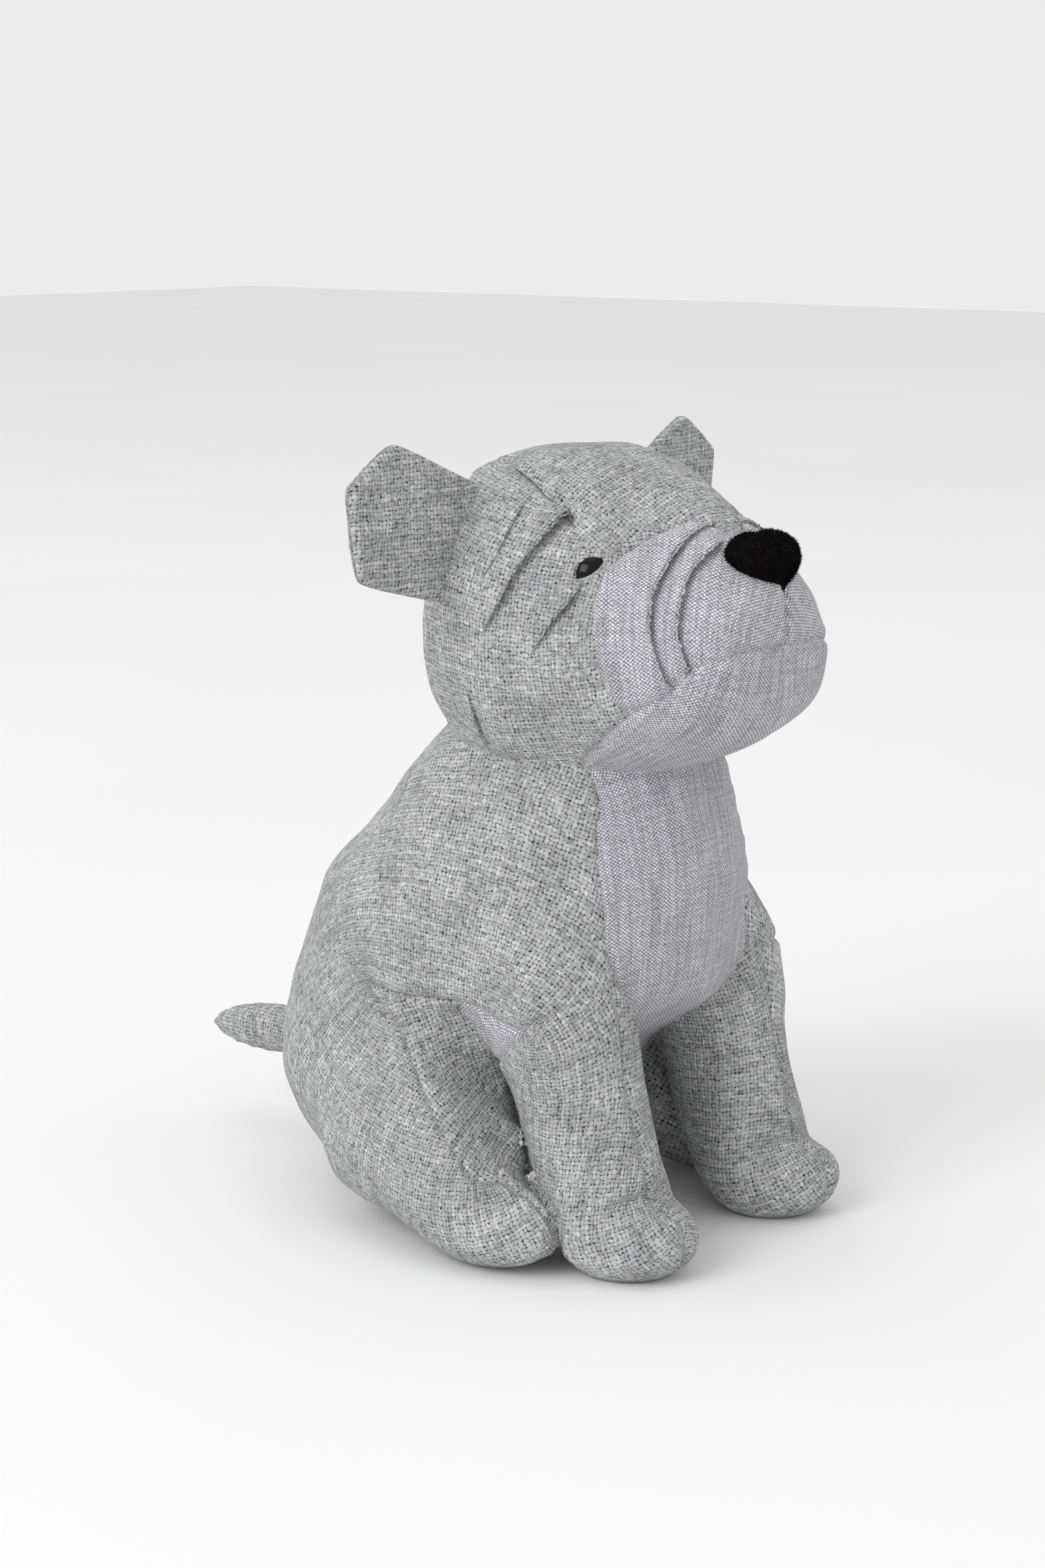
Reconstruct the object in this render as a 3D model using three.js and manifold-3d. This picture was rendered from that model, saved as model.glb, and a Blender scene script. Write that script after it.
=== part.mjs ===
// Sitting plush dog: tweed and chambray covers over firm fillings, with a sewn neck, two ears,
// two front legs and a tail that flex, safety eyes, a fur nose and a weight bag in the seat.
// Millimetres, +Z up. The dog faces -Y, and its own left side is +X.
import * as THREE from "three";
import { mergeVertices } from "three/addons/utils/BufferGeometryUtils.js";
import Module from "manifold-3d";

const wasm = await Module();
wasm.setup();

// ---------------------------------------------------------------- driving dimensions
const COVER = 1.6;            // cover cloth, pressed, with its share of the seam allowance
const SEAM = 0.3;             // gap between two pieces that are sewn edge to edge
const FILL_GAP = 0.4;         // gap between a cover and the filling behind it
const FLOOR = 0;              // the seat, paws and feet are pressed flat here
const CENTRE_Y = 31.88;       // middle of the length from chin to tail tip, before centring

const BASE = { y: 38, halfWidth: 40, halfDepth: 31, lift: 2 };   // panel under the seat
const TORSO_FILL_TOP = 145;   // the body filling ends below the neck seam

const NECK = { y: -14, radius: 34, bottom: 146, top: 170 };
const NECK_ROOM = { radius: 45, top: 180 };   // free space in the head filling round the neck

const LEG_SEAM_X = 41;        // front leg: the outer and inner covers meet in this plane
const LEG_FILL_TOP = 86;      // front leg filling ends below the shoulder hinge
const FOOT_SEAM_X = 64.5;     // hind foot: the side panel and the inner panel meet in this plane
const TAIL_FILL_ROOT = 99;    // tail filling starts clear of the rump

const EAR_PLY = 2.4;          // one face of an ear, cloth with its thin padding
const EAR_CLEAR = 2.3;        // ear edge to head cover
const EYE = { x: 42.8, y: -51.3, z: 228, radius: 5, dome: 3.4, shank: 1.8, length: 11 };
const WASHER = { radius: 7, hole: 2.1, thick: 1.6 };
const NOSE = { y: -87, z: 227.5, width: 16.5, height: 12, depth: 10, fur: 2.2 };
const BAG = { y: 39, radius: 31, bottom: 6, top: 44, cloth: 1.2, mouth: 7 };

const CLOTH = {
  tweed: { color: 0xa9abab, roughness: 0.95 },
  chambray: { color: 0xadacb4, roughness: 0.9 },
  fur: { color: 0x121213, roughness: 1.0 },
  calico: { color: 0xd8d2c4, roughness: 0.95 },
  fibre: { color: 0xf1efe9, roughness: 1.0 },
};
const PLASTIC = {
  eye: { color: 0x0b0b0c, roughness: 0.12 },
  washer: { color: 0xe4e4e0, roughness: 0.5 },
  pellet: { color: 0xcfd3d6, roughness: 0.45 },
};

// ---------------------------------------------------------------- outer forms
// A station is [x, y, z, half width, half depth, taper, squareness]: a point of the form's
// spine and the section there. Taper narrows the section's upper side.
const TORSO = [
  [0, 39, -14, 31, 31], [0, 38, 8, 50, 41], [0, 37, 40, 68.5, 56], [0, 32.5, 58, 70.3, 63.5],
  [0, 22.5, 71, 70, 71], [0, 14, 84, 69.5, 76.5], [0, 5.2, 112, 66.5, 72.8], [0, -5.5, 140, 58, 60.3],
  [0, -14, 176, 45, 46],
];
const HEAD = [
  [0, 25, 205, 41, 39, 0, 2.4], [0, 8, 205, 53.5, 52, 0, 2.6], [0, -18, 206, 58, 56, 0.03, 2.45],
  [0, -45, 204, 53, 51, 0.17, 2.05], [0, -70, 202, 46, 41, 0.25, 2.0], [0, -97, 202, 39.5, 33.5, 0.3, 2.1],
];
const FRONT_LEG = [
  [43, -18, 124, 23, 25], [42.5, -37, 88, 26, 24.5], [39.5, -46, 55, 20.5, 21.5],
  [40, -54, 29, 20.5, 20.5], [40, -65, 13, 24.5, 18.5], [40.5, -90, 13.5, 21.5, 15.5],
];
const HIND_LEG = [
  [30, 54, 51, 20, 23, 0, 2.4], [40, 43, 50, 26, 33, 0, 2.5], [49.5, 22, 45, 26.5, 40, 0, 2.4],
  [57.5, -2, 32, 25, 31], [63.5, -25, 17, 22, 20.5], [64.5, -55, 13.5, 19.5, 16.5],
];
const TAIL = [[0, 84, 34, 11, 11], [0, 106, 36, 9.5, 9.5], [0, 138, 36.5, 8, 8.5], [0, 161, 34, 5, 6]];
const EAR = [[20, 246], [40, 250], [76, 266.5], [96, 253], [92, 222.5], [58, 214], [30, 208]];
const EAR_PLANE = { y: -2, x: 50, lean: 0.152 };   // the ear's middle plane: y grows with x

const vec = (x = 0, y = 0, z = 0) => new THREE.Vector3(x, y, z);

/** Closed form swept along the spine of the stations, with rounded ends; level sections lie flat. */
function sweep(stations, { around, along, round, level = false }) {
  const path = (a, b, c) => new THREE.CatmullRomCurve3(
    stations.map((s) => vec(a(s), b(s), c(s))), false, "catmullrom", 0.5);
  const spine = path((s) => s[0], (s) => s[1], (s) => s[2]);
  const size = path((s) => s[3], (s) => s[4], (s) => s[5] ?? 0);
  const shape = path((s) => s[6] ?? 2.1, () => 0, () => 0);
  const geometry = new THREE.SphereGeometry(1, around, along);
  const position = geometry.attributes.position;
  const tangent = vec();
  const wide = vec();
  const deep = vec();
  for (let i = 0; i < position.count; i++) {
    const p = vec().fromBufferAttribute(position, i);
    const run = Math.min(1, Math.abs(p.y));
    const u = THREE.MathUtils.clamp((1 - p.y) / 2, 0, 1);
    const swell = Math.pow(Math.max(0, 1 - Math.pow(run, round)), 1 / round);
    const r = Math.hypot(p.x, p.z) || 1;
    const across = p.x / r;
    const up = p.z / r;
    const power = shape.getPoint(u).x;
    const flat = Math.hypot(across, up) < 0.5
      ? 0
      : Math.pow(Math.pow(Math.abs(across), power) + Math.pow(Math.abs(up), power), -1 / power);
    const section = size.getPoint(u);
    spine.getTangent(u, tangent);
    wide.set(1, 0, 0).addScaledVector(tangent, -tangent.x).normalize();
    deep.crossVectors(tangent, wide);
    if (level) {
      wide.set(1, 0, 0);
      deep.set(0, 1, 0);
    }
    const taper = 1 - section.z * up * flat;
    const point = spine.getPoint(u)
      .addScaledVector(wide, across * flat * swell * section.x * taper)
      .addScaledVector(deep, up * flat * swell * section.y);
    position.setXYZ(i, point.x, point.y, point.z);
  }
  return welded(geometry);
}

/** Copy of a geometry with shared corners and nothing but positions. */
function welded(geometry) {
  const copy = geometry.clone();
  for (const name of Object.keys(copy.attributes)) {
    if (name !== "position") copy.deleteAttribute(name);
  }
  return mergeVertices(copy, 1e-5);
}

/** The same form, moved out along its normals by a distance (in, when it is negative). */
function offset(geometry, distance) {
  const copy = geometry.clone();
  copy.computeVertexNormals();
  const position = copy.attributes.position;
  const normal = copy.attributes.normal;
  for (let i = 0; i < position.count; i++) {
    const p = vec().fromBufferAttribute(position, i);
    p.addScaledVector(vec().fromBufferAttribute(normal, i), distance);
    position.setXYZ(i, p.x, p.y, p.z);
  }
  copy.deleteAttribute("normal");
  return copy;
}

/** Manifold solid of a closed geometry. */
function solid(geometry) {
  const shared = welded(geometry);
  const index = shared.index ? shared.index.array : shared.attributes.position.array.map((_, i) => i);
  return new wasm.Manifold(new wasm.Mesh({
    numProp: 3,
    vertProperties: new Float32Array(shared.attributes.position.array),
    triVerts: new Uint32Array(index),
  }));
}

function box(low, high) {
  const geometry = new THREE.BoxGeometry(high[0] - low[0], high[1] - low[1], high[2] - low[2]);
  geometry.translate((low[0] + high[0]) / 2, (low[1] + high[1]) / 2, (low[2] + high[2]) / 2);
  return solid(geometry);
}

/** Prism over an outline; place puts (outline u, outline v, depth) into the part's axes. */
function prism(outline, from, to, place, grow = 0) {
  const shape = new THREE.Shape(outline.map(([u, v]) => new THREE.Vector2(u, v)));
  const bevel = grow > 0
    ? { bevelEnabled: true, bevelSize: grow, bevelThickness: 1, bevelSegments: 1 }
    : { bevelEnabled: false };
  const geometry = new THREE.ExtrudeGeometry(shape, { depth: to - from, steps: 1, ...bevel });
  const position = geometry.attributes.position;
  for (let i = 0; i < position.count; i++) {
    position.setXYZ(i, ...place(position.getX(i), position.getY(i), position.getZ(i) + from));
  }
  return solid(geometry);
}
const alongX = (outline, from, to, grow) => prism(outline, from, to, (u, v, w) => [w, u, v], grow);
const alongY = (outline, from, to, grow) => prism(outline, -to, -from, (u, v, w) => [u, -w, v], grow);
const alongZ = (outline, from, to, grow) => prism(outline, from, to, (u, v, w) => [u, v, w], grow);

/** Solid of revolution about an axis through a point; the profile starts and ends on the axis. */
function turned(profile, centre, axis = vec(0, 0, 1), segments = 20) {
  const geometry = new THREE.LatheGeometry(profile.map(([r, h]) => new THREE.Vector2(r, h)), segments);
  geometry.applyQuaternion(new THREE.Quaternion().setFromUnitVectors(vec(0, 1, 0), axis.clone().normalize()));
  geometry.translate(centre.x, centre.y, centre.z);
  return solid(geometry);
}

/** Smooth open line through the given points, as a list of pairs. */
const smooth = (points, count) => new THREE.SplineCurve(points.map(([u, v]) => new THREE.Vector2(u, v)))
  .getPoints(count).map((p) => [p.x, p.y]);

const mirrored = (points) => points.map(([u, v]) => [-u, v]).reverse();
const flipped = (stations, side) => stations.map(([x, ...rest]) => [side * x, ...rest]);

// ---------------------------------------------------------------- pieces
const nodes = [];
function keep(name, body, finish) {
  nodes.push({ name, body, finish });
}

const FAR = 400;
const aboveFloor = (height) => box([-FAR, -FAR, height], [FAR, FAR, FAR]);
const leftHalf = (x) => box([x, -FAR, -FAR], [FAR, FAR, FAR]);
const rightHalf = (x) => box([-FAR, -FAR, -FAR], [x, FAR, FAR]);

/** Outside, cover and filling of one stuffed form standing on the floor, and its grown outsides. */
function stuffed(stations, detail) {
  const form = sweep(stations, detail);
  const outer = solid(form).intersect(aboveFloor(FLOOR));
  const inner = solid(offset(form, -COVER)).intersect(aboveFloor(FLOOR + COVER));
  const cover = outer.subtract(inner);
  const filling = solid(offset(form, -COVER - FILL_GAP))
    .intersect(aboveFloor(FLOOR + COVER + FILL_GAP)).subtract(cover);
  const grown = (by) => solid(offset(form, by));
  return { outer, inner, cover, filling, grown };
}

/** Several stuffed forms sewn into one bag. */
function sewn(forms) {
  const all = (pick) => forms.map((form) => pick(form)).reduce((sum, next) => sum.add(next));
  const outer = all((form) => form.outer);
  const inner = all((form) => form.inner);
  return {
    outer, inner, cover: outer.subtract(inner),
    filling: all((form) => form.filling),
    grown: (by) => all((form) => form.grown(by)),
  };
}

const SIDES = [[1, "left"], [-1, "right"]];
const torso = stuffed(TORSO, { around: 18, along: 14, round: 7, level: true });
const head = stuffed(HEAD, { around: 20, along: 12, round: 4 });
const haunches = sewn(SIDES.map(([side]) => stuffed(flipped(HIND_LEG, side),
  { around: 12, along: 9, round: 2.6 })));
const body = sewn([torso, haunches]);

// body covers: chest and belly in one panel, inner thighs, base panel, and two side panels that
// each run from the neck over the haunch to the outside of the hind foot
const bibHalf = smooth([[-33.5, 190], [-34, 154], [-37.3, 142], [-39, 124], [-38.2, 104], [-35, 93],
  [-28, 84], [-17, 77], [0, 73]], 12);
const bellyOutline = [[-150, 77], [-60, 77], [-45, 80], [-13, 84], [-4, 70], [6, 50], [14, 30],
  [18, -20], [-150, -20]];
const chestRegion = (grow) => alongY([...bibHalf, ...mirrored(bibHalf).slice(1)], -150, -20, grow)
  .add(alongX(bellyOutline, -100, 100, grow));
const thighLine = smooth([[22, 86.5], [8, 75], [-4, 61], [-15, 48], [-24, 38], [-36, 30], [-90, 30]], 9);
const thighRegion = (side, grow) => alongX([...thighLine, [-90, 62], [-13, 84]], -100, 100, grow)
  .add(side > 0
    ? box([0, -100, -20], [FOOT_SEAM_X - SEAM / 2 + grow, 18, 60])
    : box([-FOOT_SEAM_X + SEAM / 2 - grow, -100, -20], [0, 18, 60]));
const disc = turned([[0, -10], [1, -10], [1, BASE.lift], [0, BASE.lift]], vec());
const baseRegion = (grow) => disc
  .scale([BASE.halfWidth + grow, BASE.halfDepth + grow, 1]).translate([0, BASE.y, grow]);

const bodyCover = body.cover.subtract(head.grown(SEAM / 2));
keep("base_panel", bodyCover.intersect(baseRegion(0)), CLOTH.tweed);
const aroundBase = bodyCover.subtract(baseRegion(SEAM));
const chest = aroundBase.intersect(chestRegion(0)).subtract(haunches.grown(SEAM));
keep("chest_belly_panel", chest, CLOTH.chambray);
const aroundChest = aroundBase.subtract(chestRegion(SEAM).subtract(haunches.outer));
let sides = aroundChest;
for (const [side, word] of SIDES) {
  const half = side > 0 ? leftHalf(SEAM / 2) : rightHalf(-SEAM / 2);
  const innerThigh = aroundChest.intersect(half).intersect(thighRegion(side, 0));
  keep(`inner_thigh_${word}`, innerThigh, CLOTH.tweed);
  sides = sides.subtract(thighRegion(side, SEAM).intersect(half));
}
keep("body_side_left", sides.intersect(leftHalf(SEAM / 2)), CLOTH.tweed);
keep("body_side_right", sides.intersect(rightHalf(-SEAM / 2)), CLOTH.tweed);

// body filling with a pocket from below for the weight bag
const pocket = turned([
  [0, -20], [BAG.radius + 1, -20], [BAG.radius + 1, BAG.top - 8], [BAG.radius - 8, BAG.top + 1],
  [0, BAG.top + 1],
], vec(0, BAG.y, 0), vec(0, 0, 1), 16);
keep("torso_filling", body.filling
  .intersect(box([-FAR, -FAR, 0], [FAR, FAR, TORSO_FILL_TOP])).subtract(pocket), CLOTH.fibre);

const bagBody = turned([
  [0, BAG.bottom], [BAG.radius - 6, BAG.bottom], [BAG.radius, BAG.bottom + 8], [BAG.radius, BAG.top - 12],
  [BAG.radius - 9, BAG.top - 1], [0, BAG.top - 1],
], vec(0, BAG.y, 0), vec(0, 0, 1), 16);
const bagRoom = turned([
  [0, BAG.bottom + BAG.cloth], [BAG.radius - 7, BAG.bottom + BAG.cloth],
  [BAG.radius - BAG.cloth, BAG.bottom + 8.5], [BAG.radius - BAG.cloth, BAG.top - 12.5],
  [BAG.radius - 9.8, BAG.top - 1 - BAG.cloth], [0, BAG.top - 1 - BAG.cloth],
], vec(0, BAG.y, 0), vec(0, 0, 1), 16);
const bagMouth = box([-BAG.mouth, BAG.y - 1.2, BAG.top - 5], [BAG.mouth, BAG.y + 1.2, BAG.top + 5]);
keep("weight_bag", bagBody.subtract(bagRoom).subtract(bagMouth), CLOTH.calico);
keep("weight_pellets", turned([
  [0, BAG.bottom + BAG.cloth + 0.3], [BAG.radius - 8, BAG.bottom + BAG.cloth + 0.3],
  [BAG.radius - BAG.cloth - 0.4, BAG.bottom + 9], [BAG.radius - BAG.cloth - 0.4, BAG.top - 16],
  [BAG.radius - 16, BAG.top - 8], [0, BAG.top - 6],
], vec(0, BAG.y, 0), vec(0, 0, 1), 16), PLASTIC.pellet);

// front legs: outer cover, inner cover, filling
for (const [side, word] of SIDES) {
  const leg = stuffed(flipped(FRONT_LEG, side), { around: 10, along: 10, round: 3 });
  const cover = leg.cover.subtract(body.grown(SEAM));
  const outside = side > 0 ? leftHalf : rightHalf;
  const inside = side > 0 ? rightHalf : leftHalf;
  const outer = cover.intersect(outside(side * (LEG_SEAM_X + SEAM / 2)));
  const inner = cover.intersect(inside(side * (LEG_SEAM_X - SEAM / 2)));
  keep(`front_leg_outer_${word}`, outer, CLOTH.tweed);
  keep(`front_leg_inner_${word}`, inner, CLOTH.tweed);
  keep(`front_leg_filling_${word}`, leg.filling.subtract(body.grown(2.4))
    .intersect(box([-FAR, -FAR, 0], [FAR, FAR, LEG_FILL_TOP])), CLOTH.fibre);
}

// neck filling: a firm plug that the head turns with, and nods on
keep("neck_filling", turned([
  [0, NECK.bottom], [NECK.radius - 6, NECK.bottom], [NECK.radius, NECK.bottom + 6],
  [NECK.radius, NECK.top - 8], [NECK.radius - 10, NECK.top], [0, NECK.top],
], vec(0, NECK.y, 0), vec(0, 0, 1), 18), CLOTH.fibre);

// nose: a small fur cushion at the top of the muzzle
const noseForm = sweep([
  [0, NOSE.y + NOSE.depth, NOSE.z + 1, NOSE.width, NOSE.height, -0.45],
  [0, NOSE.y, NOSE.z, NOSE.width, NOSE.height, -0.5],
  [0, NOSE.y - NOSE.depth, NOSE.z - 2, NOSE.width - 4, NOSE.height - 3, -0.5],
], { around: 14, along: 8, round: 2.4 });
const clearOfHead = head.grown(SEAM);
const noseShell = solid(noseForm).subtract(solid(offset(noseForm, -NOSE.fur)));
const nosePad = solid(offset(noseForm, -NOSE.fur - FILL_GAP));
keep("nose_cover", noseShell.subtract(clearOfHead), CLOTH.fur);
keep("nose_filling", nosePad.subtract(head.grown(SEAM * 2)), CLOTH.fibre);

// eyes: a glossy dome and shank through the cover, with a washer behind it
const eyeAxis = (side) => vec(side * 0.76, -0.5, 0.41).normalize();
const eyeAt = (side, out) => vec(side * EYE.x, EYE.y, EYE.z).addScaledVector(eyeAxis(side), out);
const eyeHole = (side) => turned([
  [0, -30], [EYE.shank + 0.3, -30], [EYE.shank + 0.3, -0.8], [EYE.radius + 0.3, -0.8],
  [EYE.radius + 0.3, 20], [0, 20],
], eyeAt(side, 0), eyeAxis(side), 16);
const washerRoom = (side) => turned([
  [0, -EYE.length - 3], [WASHER.radius + 0.8, -EYE.length - 3], [WASHER.radius + 0.8, 4], [0, 4],
], eyeAt(side, 0), eyeAxis(side), 12);

// head covers: crown gusset, cheeks, muzzle sides, chin
const crownHalf = smooth([[-22, 60], [-22, 22], [-26, 0], [-32, -15], [-36, -29], [-38, -41], [-39.5, -49],
  [-33.5, -56], [-24, -61.5], [-13, -68], [-6, -75], [-4, -84]], 15);
const crownOutline = [...crownHalf, ...mirrored(crownHalf)];
const crownRegion = (grow) => alongZ(crownOutline, 215, 320, grow)
  .add(alongZ([[-22, 60], [-22, 16], [22, 16], [22, 60]], 120, 216, grow));
const muzzleEdge = smooth([[-38, 150], [-66.5, 180], [-64, 187], [-61, 195.5], [-58.5, 203],
  [-56, 212], [-55, 221], [-57, 230], [-63, 237], [-68, 241], [-80, 262]], 12);
const muzzleRegion = (grow) => alongX([...muzzleEdge, [-150, 262], [-150, 150]], -100, 100, grow);
const mouth = [[-150, 218], [-96.5, 203], [-85, 197], [-80, 190.5], [-72, 185], [-65, 180],
  [-53.6, 171], [-41, 159], [-36, 130], [-150, 130]];
const chinRegion = (grow) => alongX(mouth, -100, 100, grow);

let headCover = head.cover.subtract(torso.grown(SEAM / 2));
for (const side of [1, -1]) headCover = headCover.subtract(eyeHole(side));
keep("crown_panel", headCover.intersect(crownRegion(0)), CLOTH.tweed);
const lowerHead = headCover.subtract(crownRegion(SEAM));
keep("chin_panel", lowerHead.intersect(chinRegion(0)), CLOTH.chambray);
const faceSides = lowerHead.subtract(chinRegion(SEAM));
const muzzle = faceSides.intersect(muzzleRegion(0));
const cheeks = faceSides.subtract(muzzleRegion(SEAM));
for (const [half, word, x] of [[leftHalf, "left", SEAM / 2], [rightHalf, "right", -SEAM / 2]]) {
  keep(`muzzle_${word}`, muzzle.intersect(half(x)), CLOTH.chambray);
  keep(`cheek_${word}`, cheeks.intersect(half(x)), CLOTH.tweed);
}

const neckRoom = turned([
  [0, 100], [NECK_ROOM.radius, 100], [NECK_ROOM.radius, NECK_ROOM.top - 6],
  [NECK_ROOM.radius - 6, NECK_ROOM.top], [0, NECK_ROOM.top],
], vec(0, NECK.y, 0), vec(0, 0, 1), 18);
let headFilling = head.filling.subtract(torso.grown(SEAM * 2)).subtract(neckRoom);
for (const side of [1, -1]) headFilling = headFilling.subtract(washerRoom(side));
keep("head_filling", headFilling, CLOTH.fibre);

for (const [side, word] of SIDES) {
  const axis = eyeAxis(side);
  const dome = [];
  for (let step = 0; step <= 4; step++) {
    const angle = (step / 4) * Math.PI / 2;
    dome.push([EYE.radius * Math.cos(angle), 0.6 + EYE.dome * Math.sin(angle)]);
  }
  dome[4][0] = 0;
  const button = turned([[0, -0.5], [EYE.radius, -0.5], ...dome], eyeAt(side, 0), axis, 16);
  const stem = [[0, -EYE.length], [EYE.shank, -EYE.length], [EYE.shank, 2], [0, 2]];
  const shank = turned(stem, eyeAt(side, 0), axis, 10);
  keep(`eye_${word}`, button.add(shank), PLASTIC.eye);
  const plate = [[0, 0], [WASHER.radius, 0], [WASHER.radius, WASHER.thick], [0, WASHER.thick]];
  const ring = turned(plate, eyeAt(side, -EYE.length + 2), axis, 14);
  const bore = turned([[0, -40], [WASHER.hole, -40], [WASHER.hole, 20], [0, 20]], eyeAt(side, 0), axis, 10);
  keep(`eye_washer_${word}`, ring.subtract(bore), PLASTIC.washer);
}

// ears: two flat faces each, sewn round the edge and set into the crown seam
for (const [side, word] of SIDES) {
  const clear = head.grown(EAR_CLEAR);
  const lean = (x, z, y) => [side * x, EAR_PLANE.y + (x - EAR_PLANE.x) * EAR_PLANE.lean + y, z];
  for (const [face, from] of [["front", -EAR_PLY - SEAM / 2], ["back", SEAM / 2]]) {
    const outline = new THREE.Shape(EAR.map(([x, z]) => new THREE.Vector2(x, z)));
    const geometry = new THREE.ExtrudeGeometry(outline, { depth: EAR_PLY, steps: 1, bevelEnabled: false });
    const position = geometry.attributes.position;
    for (let i = 0; i < position.count; i++) {
      position.setXYZ(i, ...lean(position.getX(i), position.getY(i), position.getZ(i) + from));
    }
    // mapping (u, v, depth) to (x, z, y) turns the faces over on the +X side only
    if (side > 0) turnOver(geometry);
    keep(`ear_${face}_${word}`, solid(geometry).subtract(clear), CLOTH.tweed);
  }
}

/** Reverse the winding of an unindexed geometry. */
function turnOver(geometry) {
  const position = geometry.attributes.position;
  for (let i = 0; i < position.count; i += 3) {
    const a = vec().fromBufferAttribute(position, i + 1);
    const b = vec().fromBufferAttribute(position, i + 2);
    position.setXYZ(i + 1, b.x, b.y, b.z);
    position.setXYZ(i + 2, a.x, a.y, a.z);
  }
}

// tail: two halves over a filling
const tail = stuffed(TAIL, { around: 10, along: 8, round: 3 });
const tailCover = tail.cover.subtract(torso.grown(SEAM));
keep("tail_left_half", tailCover.intersect(leftHalf(SEAM / 2)), CLOTH.tweed);
keep("tail_right_half", tailCover.intersect(rightHalf(-SEAM / 2)), CLOTH.tweed);
keep("tail_filling", tail.filling.intersect(box([-FAR, TAIL_FILL_ROOT, 0], [FAR, FAR, FAR])), CLOTH.fibre);

// ---------------------------------------------------------------- named meshes
const group = new THREE.Group();
for (const { name, body, finish } of nodes) {
  const mesh = body.getMesh();
  const geometry = new THREE.BufferGeometry();
  geometry.setAttribute("position", new THREE.BufferAttribute(new Float32Array(mesh.vertProperties), 3));
  geometry.setIndex(new THREE.BufferAttribute(new Uint32Array(mesh.triVerts), 1));
  geometry.translate(0, -CENTRE_Y, 0);
  geometry.computeVertexNormals();
  const material = new THREE.MeshStandardMaterial({ metalness: 0, ...finish });
  const piece = new THREE.Mesh(geometry, material);
  piece.name = name;
  group.add(piece);
}

export default group;
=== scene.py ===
"""Sitting plush dog in tweed and chambray: sewn covers, puffy ears, a fur nose and glossy eyes."""

import math

import bpy
import numpy as np
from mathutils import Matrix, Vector
from mathutils.bvhtree import BVHTree
from mathutils.kdtree import KDTree


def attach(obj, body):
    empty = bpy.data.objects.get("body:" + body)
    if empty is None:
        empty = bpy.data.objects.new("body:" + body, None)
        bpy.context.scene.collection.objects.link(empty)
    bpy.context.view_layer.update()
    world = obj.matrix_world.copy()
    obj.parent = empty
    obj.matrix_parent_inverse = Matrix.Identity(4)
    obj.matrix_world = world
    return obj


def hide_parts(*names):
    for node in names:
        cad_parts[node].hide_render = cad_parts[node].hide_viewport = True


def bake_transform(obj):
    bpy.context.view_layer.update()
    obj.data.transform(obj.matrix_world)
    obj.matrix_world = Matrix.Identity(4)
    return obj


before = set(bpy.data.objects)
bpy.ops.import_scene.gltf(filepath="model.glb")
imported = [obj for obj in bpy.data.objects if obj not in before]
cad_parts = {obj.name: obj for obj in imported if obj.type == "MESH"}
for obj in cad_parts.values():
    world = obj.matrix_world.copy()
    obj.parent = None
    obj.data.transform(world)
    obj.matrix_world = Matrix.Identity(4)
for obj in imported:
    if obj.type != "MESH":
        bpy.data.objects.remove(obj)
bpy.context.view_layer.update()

MM = 0.001
CENTRE_Y = 31.88          # the part's own modelling axes lie this far behind the row frame's, mm

# ---------------------------------------------------------------- forms, as in the CAD part, mm
# A station is x, y, z, half width, half depth, taper of the upper side, squareness.
TORSO = [
    (0, 39, -14, 31, 31), (0, 38, 8, 50, 41), (0, 37, 40, 68.5, 56), (0, 32.5, 58, 70.3, 63.5),
    (0, 22.5, 71, 70, 71), (0, 14, 84, 69.5, 76.5), (0, 5.2, 112, 66.5, 72.8),
    (0, -5.5, 140, 58, 60.3), (0, -14, 176, 45, 46),
]
HEAD = [
    (0, 25, 205, 41, 39, 0, 2.4), (0, 8, 205, 53.5, 52, 0, 2.6), (0, -18, 206, 58, 56, 0.03, 2.45),
    (0, -45, 204, 53, 51, 0.17, 2.05), (0, -70, 202, 46, 41, 0.25, 2.0),
    (0, -97, 202, 39.5, 33.5, 0.3, 2.1),
]
FRONT_LEG = [
    (43, -18, 124, 23, 25), (42.5, -37, 88, 26, 24.5), (39.5, -46, 55, 20.5, 21.5),
    (40, -54, 29, 20.5, 20.5), (40, -65, 13, 24.5, 18.5), (40.5, -90, 13.5, 21.5, 15.5),
]
HIND_LEG = [
    (30, 54, 51, 20, 23, 0, 2.4), (40, 43, 50, 26, 33, 0, 2.5), (49.5, 22, 45, 26.5, 40, 0, 2.4),
    (57.5, -2, 32, 25, 31), (63.5, -25, 17, 22, 20.5), (64.5, -55, 13.5, 19.5, 16.5),
]
TAIL = [(0, 84, 34, 11, 11), (0, 106, 36, 9.5, 9.5), (0, 138, 36.5, 8, 8.5), (0, 161, 34, 5, 6)]


def catmull_rom(points, u):
    """Uniform Catmull-Rom curve through the points, at parameters u from 0 to 1."""
    p = np.asarray(points, float)
    ends = np.vstack([2 * p[0] - p[1], p, 2 * p[-1] - p[-2]])
    place = np.clip(np.asarray(u, float), 0, 1) * (len(p) - 1)
    i = np.minimum(place.astype(int), len(p) - 2)
    t = (place - i)[:, None]
    p0, p1, p2, p3 = ends[i], ends[i + 1], ends[i + 2], ends[i + 3]
    m1, m2 = (p2 - p0) / 2, (p3 - p1) / 2
    t2, t3 = t * t, t * t * t
    return (2 * t3 - 3 * t2 + 1) * p1 + (t3 - 2 * t2 + t) * m1 + (3 * t2 - 2 * t3) * p2 + (t3 - t2) * m2


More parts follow.
